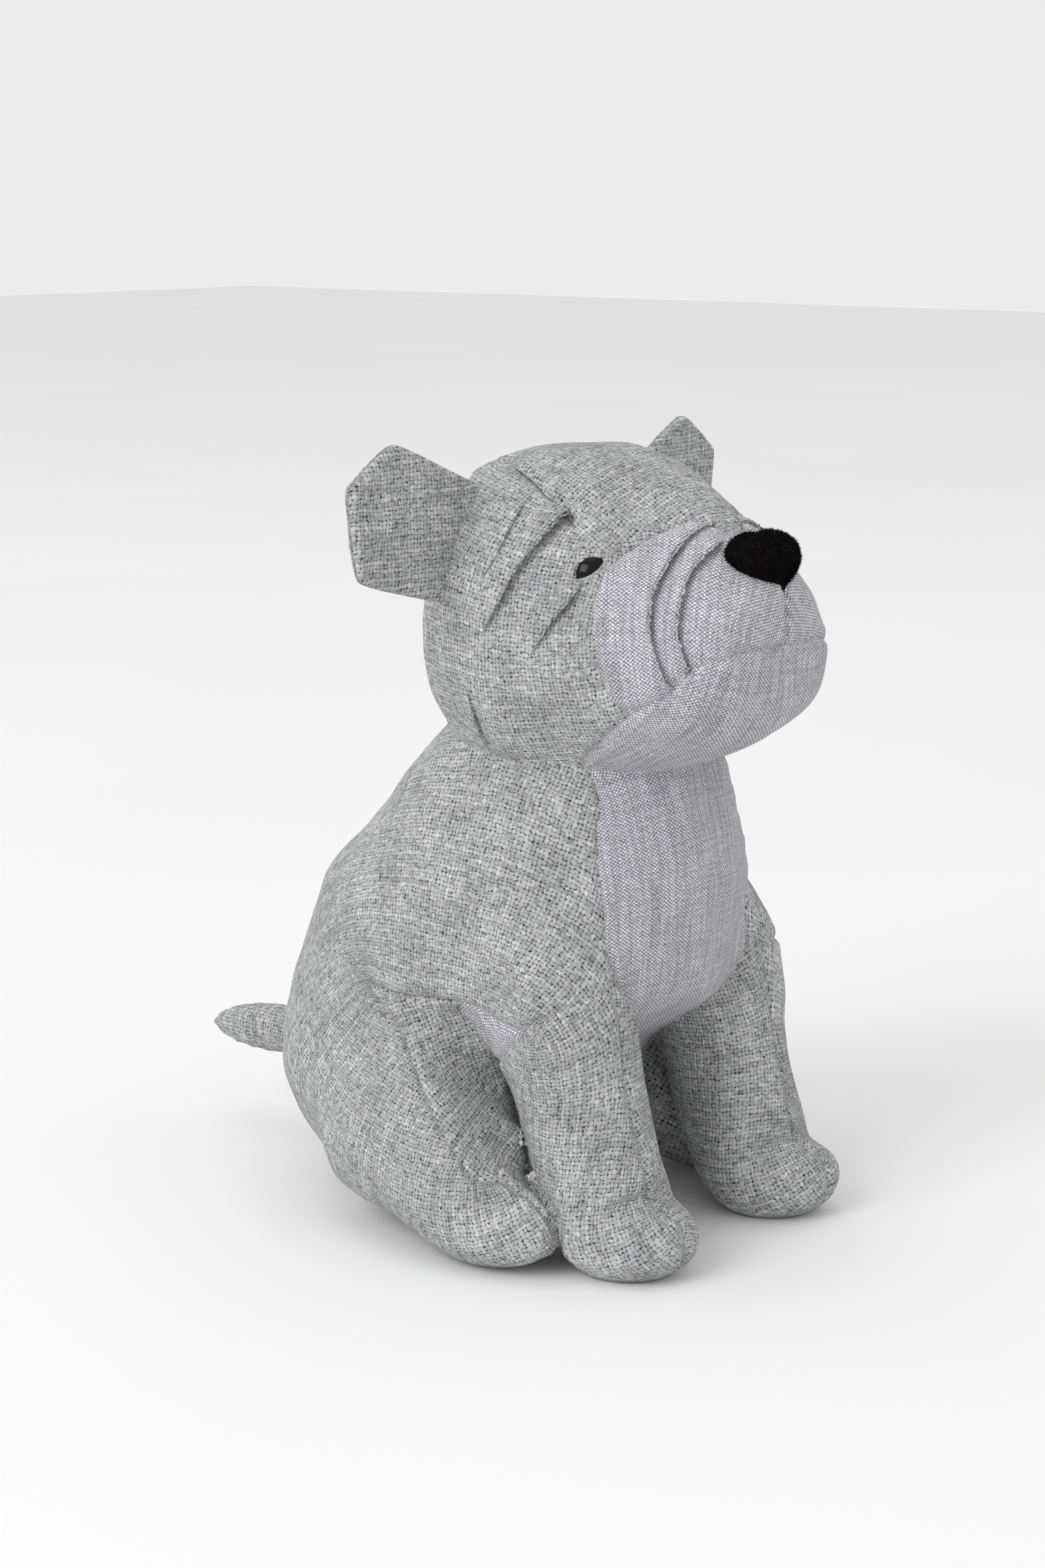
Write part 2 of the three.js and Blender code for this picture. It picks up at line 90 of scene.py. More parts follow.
def sweep(stations, round_end, around=96, along=96, level=False):
    """Closed form swept along the stations' spine: points in mm and quads."""
    rows = [tuple(s) + (0, 2.1)[len(s) - 5:] if len(s) < 7 else tuple(s) for s in stations]
    rows = np.array(rows, float)
    theta = np.linspace(0, math.pi, along + 1)[1:-1]
    u = (1 - np.cos(theta)) / 2
    spine, size = catmull_rom(rows[:, :3], u), catmull_rom(rows[:, 3:], u)
    ahead, behind = catmull_rom(rows[:, :3], u + 1e-3), catmull_rom(rows[:, :3], u - 1e-3)
    tangent = unit(ahead - behind)
    wide = unit(np.array([1.0, 0, 0]) - tangent * tangent[:, :1])
    deep = np.cross(tangent, wide)
    if level:
        wide[:] = (1, 0, 0)
        deep[:] = (0, 1, 0)
    swell = (1 - np.abs(np.cos(theta)) ** round_end) ** (1 / round_end)
    angle = np.linspace(0, 2 * math.pi, around, endpoint=False)
    across, up = np.cos(angle)[None, :], np.sin(angle)[None, :]
    power = size[:, 3:4]
    flat = (np.abs(across) ** power + np.abs(up) ** power) ** (-1 / power)
    taper = 1 - size[:, 2:3] * up * flat
    x = (across * flat * swell[:, None] * size[:, :1] * taper)[..., None]
    y = (up * flat * swell[:, None] * size[:, 1:2])[..., None]
    grid = spine[:, None] + wide[:, None] * x + deep[:, None] * y
    points = np.vstack([grid.reshape(-1, 3), catmull_rom(rows[:, :3], [0.0, 1.0])])
    rings = along - 1
    faces = []
    for r in range(rings - 1):
        for a in range(around):
            b = (a + 1) % around
            faces.append((r * around + a, r * around + b, (r + 1) * around + b, (r + 1) * around + a))
    low, high = rings * around, rings * around + 1
    for a in range(around):
        b = (a + 1) % around
        faces.append((low, b, a))
        faces.append((high, (rings - 1) * around + a, (rings - 1) * around + b))
    return points, faces


def mirrored(stations):
    """The same places on the dog's right side."""
    return [(-s[0],) + tuple(s[1:]) for s in stations]


# ---------------------------------------------------------------- mesh helpers
def linked(name, data):
    obj = bpy.data.objects.new(name, data)
    bpy.context.scene.collection.objects.link(obj)
    return obj


def new_object(name, points, faces, smooth=True):
    mesh = bpy.data.meshes.new(name)
    mesh.from_pydata(np.asarray(points, float).tolist(), [], [tuple(f) for f in faces])
    if smooth:
        mesh.shade_smooth()
    return linked(name, mesh)


def drop(obj):
    mesh = obj.data
    bpy.data.objects.remove(obj)
    bpy.data.meshes.remove(mesh)


def arrays_of(mesh):
    """A mesh's points and triangles."""
    co = np.zeros(len(mesh.vertices) * 3)
    mesh.vertices.foreach_get("co", co)
    mesh.calc_loop_triangles()
    tri = np.zeros(len(mesh.loop_triangles) * 3, int)
    mesh.loop_triangles.foreach_get("vertices", tri)
    return co.reshape(-1, 3), tri.reshape(-1, 3)


def voxel_skin(forms, voxel):
    """One closed skin round several forms, as points in mm and triangles."""
    points, faces, start = [], [], 0
    for p, f in forms:
        points.append(p)
        faces += [tuple(i + start for i in face) for face in f]
        start += len(p)
    obj = new_object("skin_scratch", np.vstack(points), faces)
    remesh = obj.modifiers.new("remesh", "REMESH")
    remesh.mode = "VOXEL"
    remesh.voxel_size = voxel
    evaluated = obj.evaluated_get(bpy.context.evaluated_depsgraph_get())
    found = arrays_of(evaluated.to_mesh())
    evaluated.to_mesh_clear()
    drop(obj)
    return found


def sides(tri):
    """The three sides of every triangle, each from point to point."""
    return np.vstack([tri[:, [0, 1]], tri[:, [1, 2]], tri[:, [2, 0]]])


def edges_of(tri):
    return np.unique(np.sort(sides(tri), axis=1), axis=0)


def unit(vectors):
    return vectors / np.linalg.norm(vectors, axis=-1, keepdims=True)


def relax(points, tri, weight, rounds):
    """Move each point up to half way to the mean of its neighbours, by weight."""
    e = edges_of(tri)
    n, axes = points.shape
    both = np.concatenate([e[:, 0], e[:, 1]])
    other = np.concatenate([e[:, 1], e[:, 0]])
    count = np.bincount(both, minlength=n).clip(1)
    points = points.copy()
    w = (np.broadcast_to(weight, n) * 0.5)[:, None]
    for _ in range(rounds):
        mean = np.stack([np.bincount(both, points[other, k], n) / count for k in range(axes)], axis=1)
        points += (mean - points) * w
    return points


def normals_of(points, tri):
    a, b, c = points[tri[:, 0]], points[tri[:, 1]], points[tri[:, 2]]
    face = np.cross(b - a, c - a)
    normal = np.zeros_like(points)
    for k in range(3):
        for j in range(3):
            normal[:, k] += np.bincount(tri[:, j], face[:, k], len(points))
    length = np.linalg.norm(normal, axis=1)
    return normal / np.maximum(length, 1e-12)[:, None]


def tree_of(form):
    points, faces = form
    return BVHTree.FromPolygons(points.tolist(), [tuple(f) for f in faces])


def distance_to(tree, points):
    """Unsigned distance from each point to a form's surface."""
    return np.array([tree.find_nearest(Vector(p))[3] for p in points])


def carve(points, tri, label, allowed, inside, new_label, snap=0.28):
    """Cut the triangles with an allowed label along the zero line of a function of place, and give
    new_label to the side where it is positive. Points that lie near the line slide onto it."""
    free = np.isin(label, allowed)
    touched = np.unique(tri[free])
    value = np.zeros(len(points))
    value[touched] = inside(points[touched])
    near = touched[np.abs(value[touched]) < snap]
    if len(near):
        step = 0.05
        gradient = np.stack([
            (inside(points[near] + step * axis) - inside(points[near] - step * axis)) / (2 * step)
            for axis in np.eye(3)], axis=1)
        steep = (gradient ** 2).sum(axis=1)
        good = steep > 0.1
        move = np.zeros_like(gradient)
        move[good] = -(value[near][good] / steep[good])[:, None] * gradient[good]
        length = np.linalg.norm(move, axis=1)
        move *= np.minimum(1, 2 * snap / np.maximum(length, 1e-9))[:, None]
        # slide along the surface only
        normal = normals_of(points, tri)[near]
        move -= normal * (move * normal).sum(axis=1)[:, None]
        points = points.copy()
        points[near] += move
        value[near] = 0
    sign = np.sign(value).astype(int)
    corner = sign[tri]
    mixed = free & (corner.max(axis=1) > 0) & (corner.min(axis=1) < 0)
    plain = ~mixed
    out_tri, out_label = [tri[plain]], [label[plain].copy()]
    whole_in = free[plain] & (corner[plain].max(axis=1) > 0)
    if new_label is not None:
        out_label[0][whole_in] = new_label
    t, s, old = tri[mixed], corner[mixed], label[mixed]
    if len(t):
        crossing = sides(s).prod(axis=1) < 0
        unique = np.unique(np.sort(sides(t)[crossing], axis=1), axis=0)
        a, b = unique.T
        share = (value[a] / (value[a] - value[b]))[:, None]
        fresh = points[a] * (1 - share) + points[b] * share
        index = {(int(i), int(j)): len(points) + k for k, (i, j) in enumerate(unique)}
        points = np.vstack([points, fresh])
        new_t, new_l = [], []
        for triangle, signs, was in zip(t.tolist(), s.tolist(), old.tolist()):
            ring = []
            for k in range(3):
                i, j = triangle[k], triangle[(k + 1) % 3]
                ring.append((i, signs[k]))
                if signs[k] * signs[(k + 1) % 3] < 0:
                    ring.append((index[(min(i, j), max(i, j))], 0))
            for side, name in ((1, was if new_label is None else new_label), (-1, was)):
                part = [i for i, v in ring if v * side >= 0]
                if len(part) == 3:
                    new_t.append(part)
                    new_l.append(name)
                elif len(part) == 4:
                    # split the quad on its shorter diagonal
                    q = points[part]
                    if np.linalg.norm(q[0] - q[2]) > np.linalg.norm(q[1] - q[3]):
                        part = part[1:] + part[:1]
                    new_t += [[part[0], part[1], part[2]], [part[0], part[2], part[3]]]
                    new_l += [name, name]
        out_tri.append(np.array(new_t, int))
        out_label.append(np.array(new_l, int))
    return points, np.vstack(out_tri), np.concatenate(out_label)


# ---------------------------------------------------------------- panel outlines, as in the CAD part
X, Y, Z = 0, 1, 2


def within(outline, first, second):
    """Function of place: distance inside a closed outline drawn in two of the axes."""
    corner = np.asarray(outline, float)

    def value(points):
        q = points[:, [first, second]]
        best = np.full(len(q), 1e9)
        inside = np.zeros(len(q), bool)
        for a, b in zip(corner, np.roll(corner, -1, axis=0)):
            d = b - a
            length = d @ d
            if length < 1e-9:
                continue
            s = np.clip(((q - a) @ d) / length, 0, 1)
            best = np.minimum(best, np.linalg.norm(q - a - s[:, None] * d, axis=1))
            if a[1] != b[1]:
                spans = (a[1] > q[:, 1]) != (b[1] > q[:, 1])
                at = a[0] + (q[:, 1] - a[1]) * d[0] / d[1]
                inside ^= spans & (q[:, 0] < at)
        return np.where(inside, best, -best)
    return value


def smooth_line(points, count=70):
    return catmull_rom(points, np.linspace(0, 1, count))


def closed_both_ways(half):
    """An outline from its -X half, from the far end to the middle and back."""
    return np.vstack([half, half[::-1] * (-1, 1)])


BIB = closed_both_ways(smooth_line([
    (-33.5, 190), (-34, 154), (-37.3, 142), (-39, 124), (-38.2, 104), (-35, 93), (-28, 84), (-17, 77),
    (0, 73)]))
BELLY = [(-150, 77), (-60, 77), (-45, 80), (-13, 84), (-4, 70), (6, 50), (14, 30), (18, -20), (-150, -20)]
THIGH = np.vstack([
    smooth_line([(22, 86.5), (8, 75), (-4, 61), (-15, 48), (-24, 38), (-36, 30), (-90, 30)]),
    [(-90, 62), (-13, 84)]])
CROWN = closed_both_ways(smooth_line([
    (-22, 60), (-22, 22), (-26, 0), (-32, -15), (-36, -29), (-38, -41), (-39.5, -49), (-33.5, -56),
    (-24, -61.5), (-13, -68), (-6, -75), (-4, -84)]))
MUZZLE = np.vstack([
    smooth_line([(-38, 150), (-66.5, 180), (-64, 187), (-61, 195.5), (-58.5, 203), (-56, 212),
                 (-55, 221), (-57, 230), (-63, 237), (-68, 241), (-80, 262)]),
    [(-150, 262), (-150, 150)]])
MOUTH = np.vstack([
    [(-150, 218)],
    smooth_line([(-96.5, 203), (-85, 197), (-80, 190.5), (-72, 185), (-65, 180), (-53.6, 171),
                 (-41, 159), (-36, 130)]),
    [(-150, 130)]])
BASE_Y, BASE_HALF_X, BASE_HALF_Y, BASE_LIFT = 38, 40, 31, 2
LEG_SEAM_X, FOOT_SEAM_X = 41, 64.5
BIB_BACK_Y = -20                          # the bib lies only in front of this
FOOT_BACK_Y, FOOT_TOP_Z = 18, 60          # the inside of the hind foot is part of the thigh
CROWN_LOW_Z, NAPE_HALF_X, NAPE_FRONT_Y, NAPE_TOP_Z = 215, 22, 16, 218


# the front legs leave the body beyond a slanted plane under the chest, mm
LEG_PLANE_POINT = np.array([0, -18.0, 58.0])
LEG_PLANE_DOWN = np.array([0, -0.63, -0.775]) / math.hypot(0.63, 0.775)


def leg_depth(points):
    """Distance along the front leg, past the plane where it leaves the body."""
    return (points - LEG_PLANE_POINT) @ LEG_PLANE_DOWN


# ---------------------------------------------------------------- one skin over every stuffed form
BODY_FORMS = ["torso", "hind_left", "hind_right"]
LEG_FORMS = ["leg_left", "leg_right"]
FORMS = {
    "torso": sweep(TORSO, 7, level=True),
    "hind_left": sweep(HIND_LEG, 2.6),
    "hind_right": sweep(mirrored(HIND_LEG), 2.6),
    "leg_left": sweep(FRONT_LEG, 3),
    "leg_right": sweep(mirrored(FRONT_LEG), 3),
    "head": sweep(HEAD, 4, around=120, along=120),
    "tail": sweep(TAIL, 3, around=48, along=64),
}
TREES = {name: tree_of(form) for name, form in FORMS.items()}


def rest_on_floor(form):
    """The form with its underside flat on the floor."""
    points, faces = form
    points = points.copy()
    points[:, Z] = np.maximum(points[:, Z], 0)
    return points, faces


VOXEL = 1.25            # mm
skin, tri = voxel_skin([rest_on_floor(form) for form in FORMS.values()], VOXEL)


def reach(points):
    """Distance from each point to each form."""
    found = {name: distance_to(tree, points) for name, tree in TREES.items()}
    found["haunch"] = np.minimum(found["hind_left"], found["hind_right"])
    found["leg"] = np.minimum(found["leg_left"], found["leg_right"])
    found["body"] = np.minimum(found["torso"], found["haunch"])
    return found


def blend_zone(first, second, width):
    """1 where two forms meet, falling to 0 at a width away from the crease."""
    return np.exp(-(np.maximum(first, second) / width) ** 2)


def ease(value, low, high):
    """Smooth rise from 0 at low to 1 at high."""
    t = np.clip((value - low) / (high - low), 0, 1)
    return t * t * (3 - 2 * t)


def nearer(first, second):
    """Function of place: positive where one group of forms lies nearer than another."""
    def value(points):
        a = np.minimum.reduce([distance_to(TREES[name], points) for name in first])
        b = np.minimum.reduce([distance_to(TREES[name], points) for name in second])
        return b - a
    return value


WEDGE_DEPTH = 8           # mm


def in_the_wedge(points):
    """How far each point lies in, mm: the belly and inner thigh turn in behind the front legs."""
    found = reach(points)
    from_leg = found["leg"] - found["body"]
    on_torso = ease(found["haunch"] - found["torso"], 0, 4)
    away = ease(from_leg, 0, 5) * ease(np.abs(points[:, X]), 30, 48)
    y, z = points[:, Y], points[:, Z]
    belly = np.exp(-((y + 11) / 12) ** 2) * ease(-z, -90, -76) * ease(z, 22, 40)
    thigh = ease(within(THIGH, Y, Z)(points), -1, 12) * ease(z, 14, 34) * ease(-y, -22, -4)
    return away * np.maximum(belly * on_torso, thigh * (1 - on_torso)) * WEDGE_DEPTH


# the creases between the forms are rounded, more at the shoulder and the flank, where cloth bridges
near = reach(skin)
clear_of_haunch = 1 - np.exp(-(near["haunch"] / 9) ** 2)
crease = blend_zone(near["leg"], near["haunch"], 4)
skin = relax(skin, tri, 1 - 0.7 * crease, 5)
shoulder = blend_zone(near["torso"], near["leg"], 9) * clear_of_haunch
shoulder *= ease(np.abs(skin[:, X]), 30, 44) * ease(skin[:, Z], 66, 86)
skin = relax(skin, tri, shoulder, 110)
flank = blend_zone(near["torso"], near["haunch"], 8) * (skin[:, Y] > 5)
skin = relax(skin, tri, flank, 60)
skin = relax(skin, tri, blend_zone(near["torso"], near["leg"], 5) * clear_of_haunch, 12)
depth_in = in_the_wedge(skin)
skin = skin - normals_of(skin, tri) * depth_in[:, None]
skin = relax(skin, tri, np.clip(depth_in / 4, 0, 1), 16)
skin[:, Z] = np.maximum(skin[:, Z], 0)

# ---------------------------------------------------------------- panels
LABELS = ["side", "base", "leg", "chest", "thigh", "tail", "cheek", "crown", "muzzle", "chin",
          "leg_inner", "eye_slit"]
CODE = {name: i for i, name in enumerate(LABELS)}
# labels that stand for a left and a right panel
HALVED = [CODE[n] for n in ("side", "leg", "leg_inner", "thigh", "tail", "cheek", "muzzle")]


def on_base(points):
    r = np.hypot(points[:, X] / BASE_HALF_X, (points[:, Y] - BASE_Y) / BASE_HALF_Y)
    return np.minimum((1 - r) * BASE_HALF_Y, BASE_LIFT - points[:, Z])


on_leg_form = nearer(LEG_FORMS, BODY_FORMS)
on_haunch = nearer(BODY_FORMS[1:], ["torso"])
in_bib, in_belly, in_thigh = within(BIB, X, Z), within(BELLY, Y, Z), within(THIGH, Y, Z)
in_crown, in_muzzle, in_mouth = within(CROWN, X, Y), within(MUZZLE, Y, Z), within(MOUTH, Y, Z)


def on_leg(points):
    return np.minimum(on_leg_form(points), leg_depth(points) + 1)


def on_bib(points):
    return np.minimum(in_bib(points), BIB_BACK_Y - points[:, Y])


def on_belly(points):
    return np.minimum(in_belly(points), -on_haunch(points))


def on_thigh(points):
    x, y, z = points.T
    foot = np.minimum.reduce([FOOT_SEAM_X - np.abs(x), FOOT_BACK_Y - y, FOOT_TOP_Z - z])
    return np.maximum(in_thigh(points), foot)


def on_crown(points):
    x, y, z = points.T
    top = np.minimum(in_crown(points), z - CROWN_LOW_Z)
    nape = np.minimum.reduce([NAPE_HALF_X - np.abs(x), y - NAPE_FRONT_Y, NAPE_TOP_Z - z])
    return np.maximum(top, nape)


label = np.zeros(len(tri), int)
for allowed, inside, name in (
        (["side"], nearer(["head"], ["torso"]), "cheek"),
        (["side"], nearer(["tail"], ["torso"]), "tail"),
        (["side"], on_base, "base"),
        (["side"], on_leg, "leg"),
        (["side", "leg"], on_bib, "chest"),
        (["side"], on_belly, "chest"),
        (["side"], on_thigh, "thigh"),
        (["leg"], lambda p: LEG_SEAM_X - np.abs(p[:, X]), "leg_inner"),
        (["cheek"], on_crown, "crown"),
        (["cheek"], in_mouth, "chin"),
        (["cheek"], in_muzzle, "muzzle")):
    skin, tri, label = carve(skin, tri, label, [CODE[n] for n in allowed], inside, CODE[name])
skin, tri, label = carve(skin, tri, label, HALVED, lambda p: p[:, X], None)


# ---------------------------------------------------------------- folds, in mm on the skin
def random_field(seed, wavelength, count=28):
    """Smooth random function of place with the given wavelength, about -1 to 1."""
    rng = np.random.default_rng(seed)
    direction = unit(rng.normal(size=(count, 3)))
    wave = 2 * math.pi / (wavelength * rng.uniform(0.75, 1.4, count))
    phase = rng.uniform(0, 2 * math.pi, count)
    scale = math.sqrt(2 / count) * 0.7

    def value(points):
        total = np.zeros(len(points))
        for d, k, f in zip(direction, wave, phase):
            total += np.cos(points @ (d * k) + f)
        return total * scale
    return value


class Fold:
    """A line on the skin where cloth is tucked. The cloth on the line's upper side lies over the
    cloth on its lower side. across() is the distance from the line, positive on the upper side."""

    LIP, HOLLOW = 5.0, 4.5       # how far the upper cloth swells and the lower cloth sinks
    REACH, PAST_END = 13.0, 2.5

    def __init__(self, line, upper, step, ends):
        self.point = smooth_line(line, 90)
        self.tangent = unit(np.gradient(self.point, axis=0))
        normal = np.array([FOLD_TREE.find_nearest(Vector(p))[1] for p in self.point])
        self.side = unit(np.cross(self.tangent, normal))
        if (self.side[len(self.side) // 2] @ np.array(upper)) < 0:
            self.side = -self.side
        along = np.linspace(0, 1, len(self.point))
        rise, fall = along / ends[0], (1 - along) / ends[1]
        self.depth = step * np.clip(np.minimum(rise, fall), 0, 1) ** 0.7

    def nearest(self, points):
        index = np.zeros(len(points), int)
        gap = np.full(len(points), 1e9)
        for k, q in enumerate(self.point):
            d = ((points - q) ** 2).sum(axis=1)
            closer = d < gap
            index[closer], gap[closer] = k, d[closer]
        return index, np.sqrt(gap)

    def place(self, points):
        """Nearest place on the line, the gap to it, and the distances across and along the line."""
        index, gap = self.nearest(points)
        off = points - self.point[index]
        return index, gap, (off * self.side[index]).sum(axis=1), (off * self.tangent[index]).sum(axis=1)

    def across(self, points):
        _, gap, value, past = self.place(points)
        value[(np.abs(past) > self.PAST_END) | (gap > self.REACH)] = 9.0
        return value

    def shape(self, points, normal):
        """How far each point moves, along the normal and over the line, and how deep it is in the fold."""
        index, gap, s, past = self.place(points)
        fade = np.exp(-(past / self.PAST_END) ** 2) * np.exp(-(np.maximum(gap - np.abs(s), 0) / 4) ** 2)
        depth = self.depth[index] * fade
        over = s > -0.3
        out = np.where(over, 0.62 * np.exp(-(np.maximum(s, 0) / self.LIP) ** 1.3),
                       -0.55 * np.exp(-(np.abs(s) / self.HOLLOW) ** 1.2))
        slide = np.where(over, -0.8 * np.exp(-(np.maximum(s, 0) / 2.2) ** 2), 0.0)
        move = normal * (out * depth)[:, None] + self.side[index] * (slide * depth)[:, None]
        return move, depth * np.exp(-(np.abs(s) / 1.6) ** 2)


# the dog's right side; the left side has the same folds, mirrored. Each line has the direction of
# its upper cloth, the height of the step and how gently its two ends fade
FOLD_LINES = [
    # muzzle pleats, outer and inner
    ([(-3, -72.5, 240.5), (-20, -70, 235), (-33, -69, 224), (-40, -71, 210), (-40.6, -77, 196),
      (-39, -80.6, 191)], (0, 1, 0.3), 3.0, (0.3, 0.04)),
    ([(-11, -79, 235), (-18, -77, 232), (-27.5, -76, 224), (-36, -78.5, 210.6), (-37, -83, 199),
      (-36.3, -85, 196.5)], (0, 1, 0.3), 3.0, (0.1, 0.04)),
    # cheek tucks
    ([(-37, -37.5, 245.7), (-43.5, -34.5, 239.5), (-50, -30.5, 231), (-54.8, -25, 219), (-57.5, -20, 206)],
     (0, 1, 0), 3.4, (0.02, 0.22)),
    ([(-37, -24, 250.5), (-45, -23.5, 241), (-51.5, -22, 231), (-55, -18, 222)], (0, 1, 0), 1.3, (0.3, 0.4)),
    ([(-45, -50, 223), (-49, -46.5, 217.5), (-52.5, -42, 210), (-54.8, -37.5, 200.5)],
     (0, 1, 0), 2.4, (0.2, 0.35)),
    ([(-56, -12, 186), (-52, -12.5, 176), (-45.5, -13, 168)], (0, 1, 0), 1.6, (0.5, 0.1)),
    # flank, where the body's side panel folds over the thigh
    ([(-61, 38, 94), (-65, 24, 90), (-66.6, 12, 87), (-66, 1, 85.5)], (0, 0, 1), 1.2, (0.6, 0.5)),
    # toe of the front paw
    ([(-55, -88, 9), (-51, -96, 10), (-45, -101, 8)], (0, 0, 1), 1.1, (0.4, 0.4)),
]
OVERLAP_Y = (-38.5, -9)
FOLD_TREE = BVHTree.FromPolygons(skin.tolist(), tri.tolist())
FOLDS = []
for line, upper, step, ends in FOLD_LINES:
    FOLDS.append(Fold(line, upper, step, ends))
    FOLDS.append(Fold(mirrored(line), mirrored([upper])[0], step, ends))
everything = list(CODE.values())
for fold in FOLDS:
    skin, tri, label = carve(skin, tri, label, everything, fold.across, None, snap=0.2)
    skin, tri, label = carve(skin, tri, label, everything, lambda p: fold.across(p) + 0.45, None, snap=0.12)

# eyes: a slanted slit in the cloth over each button, its lengths in mm
EYE_AT = np.array([42.8, -51.3, 228.0])
EYE_OUT = unit(np.array([0.76, -0.5, 0.41]))
EYE_LONG = np.array([-0.646, -0.543, 0.537])
EYE_LONG = unit(EYE_LONG - EYE_OUT * (EYE_LONG @ EYE_OUT))
EYE_SHORT = np.cross(EYE_OUT, EYE_LONG)
SLIT_LENGTH, SLIT_WIDTH, SLIT_REACH = 5.5, 2.15, 12


def eye_axes(side):
    flip = np.array([side, 1, 1])
    return EYE_AT * flip, EYE_OUT * flip, EYE_LONG * flip, EYE_SHORT * flip


def slit(side):
    """Function of place: positive in the slit over an eye."""
    at, out, long_way, short_way = eye_axes(side)

    def value(points):
        d = points - at
        along, over = d @ long_way, d @ short_way
        room = SLIT_WIDTH * (1 - (along / SLIT_LENGTH) ** 2) - np.abs(over)
        return np.where(np.linalg.norm(d, axis=1) < SLIT_REACH, room, -9)
    return value


face = [CODE["crown"], CODE["cheek"], CODE["muzzle"]]
for side in (1, -1):
    skin, tri, label = carve(skin, tri, label, face, slit(side), CODE["eye_slit"], snap=0.12)


def compact(points, triangles):
    """Only the points that the triangles use, the triangles renumbered, and which points they were."""
    used = np.unique(triangles)
    remap = np.full(len(points), -1)
    remap[used] = np.arange(len(used))
    return points[used], remap[triangles], used


def biggest_part(triangles, count):
    """Mask of the triangles in the largest joined patch."""
    root = np.arange(count)
    e = edges_of(triangles)
    while True:
        low_root = np.minimum(root[e[:, 0]], root[e[:, 1]])
        new = root.copy()
        np.minimum.at(new, e[:, 0], low_root)
        np.minimum.at(new, e[:, 1], low_root)
        new = new[new]
        if (new == root).all():
            break
        root = new
    part = root[triangles[:, 0]]
    names, sizes = np.unique(part, return_counts=True)
    return part == names[sizes.argmax()]


# ---------------------------------------------------------------- pieces of the skin
middle = skin[tri].mean(axis=1)
piece = label * 2 + np.where(np.isin(label, HALVED) & (middle[:, X] > 0), 1, 0)


def shared_edges():
    """Edges with a triangle on either side: the two points of each, and the two triangles."""
    e = np.sort(sides(tri), axis=1)
    owner = np.tile(np.arange(len(tri)), 3)
    order = np.lexsort((e[:, 1], e[:, 0]))
    e, owner = e[order], owner[order]
    same = (e[1:] == e[:-1]).all(axis=1)
    return e[:-1][same], owner[:-1][same], owner[1:][same]


def give_away_scraps():
    """A patch cut off from the rest of its piece joins the piece it shares most edges with."""
    _, first, second = shared_edges()
    for name in np.unique(piece):
        if name // 2 == CODE["eye_slit"]:
            continue
        mine = np.flatnonzero(piece == name)
        _, triangles, _ = compact(skin, tri[mine])
        scrap = np.zeros(len(tri), bool)
        scrap[mine[~biggest_part(triangles, triangles.max() + 1)]] = True
        if not scrap.any():
            continue
        beside = [second[scrap[first] & ~scrap[second]], first[scrap[second] & ~scrap[first]]]
        names, counts = np.unique(piece[np.concatenate(beside)], return_counts=True)
        best = names[counts.argmax()]
        piece[scrap] = best
        label[scrap] = best // 2


give_away_scraps()


# seams: the edges between two pieces, with the lower and the higher label beside each
seam_ends, first, second = shared_edges()
differ = piece[first] != piece[second]
seam_ends = seam_ends[differ]
low, high = np.sort([label[first][differ], label[second][differ]], axis=0)


def between(first, second):
    a, b = sorted((CODE[first], CODE[second]))
    return (low == a) & (high == b)


# the cloth runs on from the body's side over the shoulder, so no groove shows there
hidden = between("side", "leg") & (distance_to(TREES["torso"], skin[seam_ends[:, 0]]) < 6)
haunch_gap = reach(skin[seam_ends[:, 0]])["haunch"]
SEAM_DEPTH = np.full(len(seam_ends), 0.95)
for first in ("side", "chest"):
    for second in ("cheek", "crown", "chin"):
        SEAM_DEPTH[between(first, second)] = 0.5
SEAM_DEPTH[between("side", "tail")] = 0.6
SEAM_DEPTH[between("side", "thigh")] = 1.4
for name in ("side", "thigh", "chest", "base"):
    for leg in ("leg", "leg_inner"):
        SEAM_DEPTH[between(name, leg) & (haunch_gap < 5.0)] = 2.2
SEAM_DEPTH[high == CODE["eye_slit"]] = 0.0
seam_middle = skin[seam_ends].mean(axis=1)
SEAM_DEPTH[between("cheek", "crown")] = 1.7
SEAM_DEPTH[between("cheek", "crown") & (seam_middle[:, Y] < -41)] = 0.3
SEAM_DEPTH[(low == CODE["muzzle"]) & (high == CODE["muzzle"]) & (seam_middle[:, Z] > 206)] = 1.5
seam_place = np.vstack([skin[seam_ends[~hidden, 0]], seam_middle[~hidden]])
seam_depth = np.tile(SEAM_DEPTH[~hidden], 2)

seam_tree = KDTree(len(seam_place))
for k, p in enumerate(seam_place):
    seam_tree.insert(p, k)
seam_tree.balance()
nearest_seam = np.zeros(len(skin), int)
seam_gap = np.zeros(len(skin))
for k, p in enumerate(skin):
    _, nearest_seam[k], seam_gap[k] = seam_tree.find(p)

# ---------------------------------------------------------------- surface detail, moved in mm
# the stuffing shows as soft lumps, each seam as a groove with a ridge and puckers beside it
normal = normals_of(skin, tri)
stuffing = random_field(11, 34)(skin) * 0.55 + random_field(12, 15)(skin) * 0.22
calm = 1 - np.exp(-(np.maximum(skin[:, Z], 0) / 9) ** 2)
move = normal * (stuffing * calm)[:, None]
for side in (1, -1):                       # the crown's edge lies over the cheek
    place = seam_middle[between("cheek", "crown")]
    place = place[(place[:, X] * side > 0) & (place[:, Z] > CROWN_LOW_Z)]
    bins = np.linspace(*OVERLAP_Y, 9)
    line = [place[(place[:, Y] > a) & (place[:, Y] < b)].mean(axis=0) for a, b in zip(bins, bins[1:])]
    FOLDS.append(Fold(line, (-side, 0, 0.6), 2.2, (0.2, 0.1)))
fold_depth = np.zeros(len(skin))
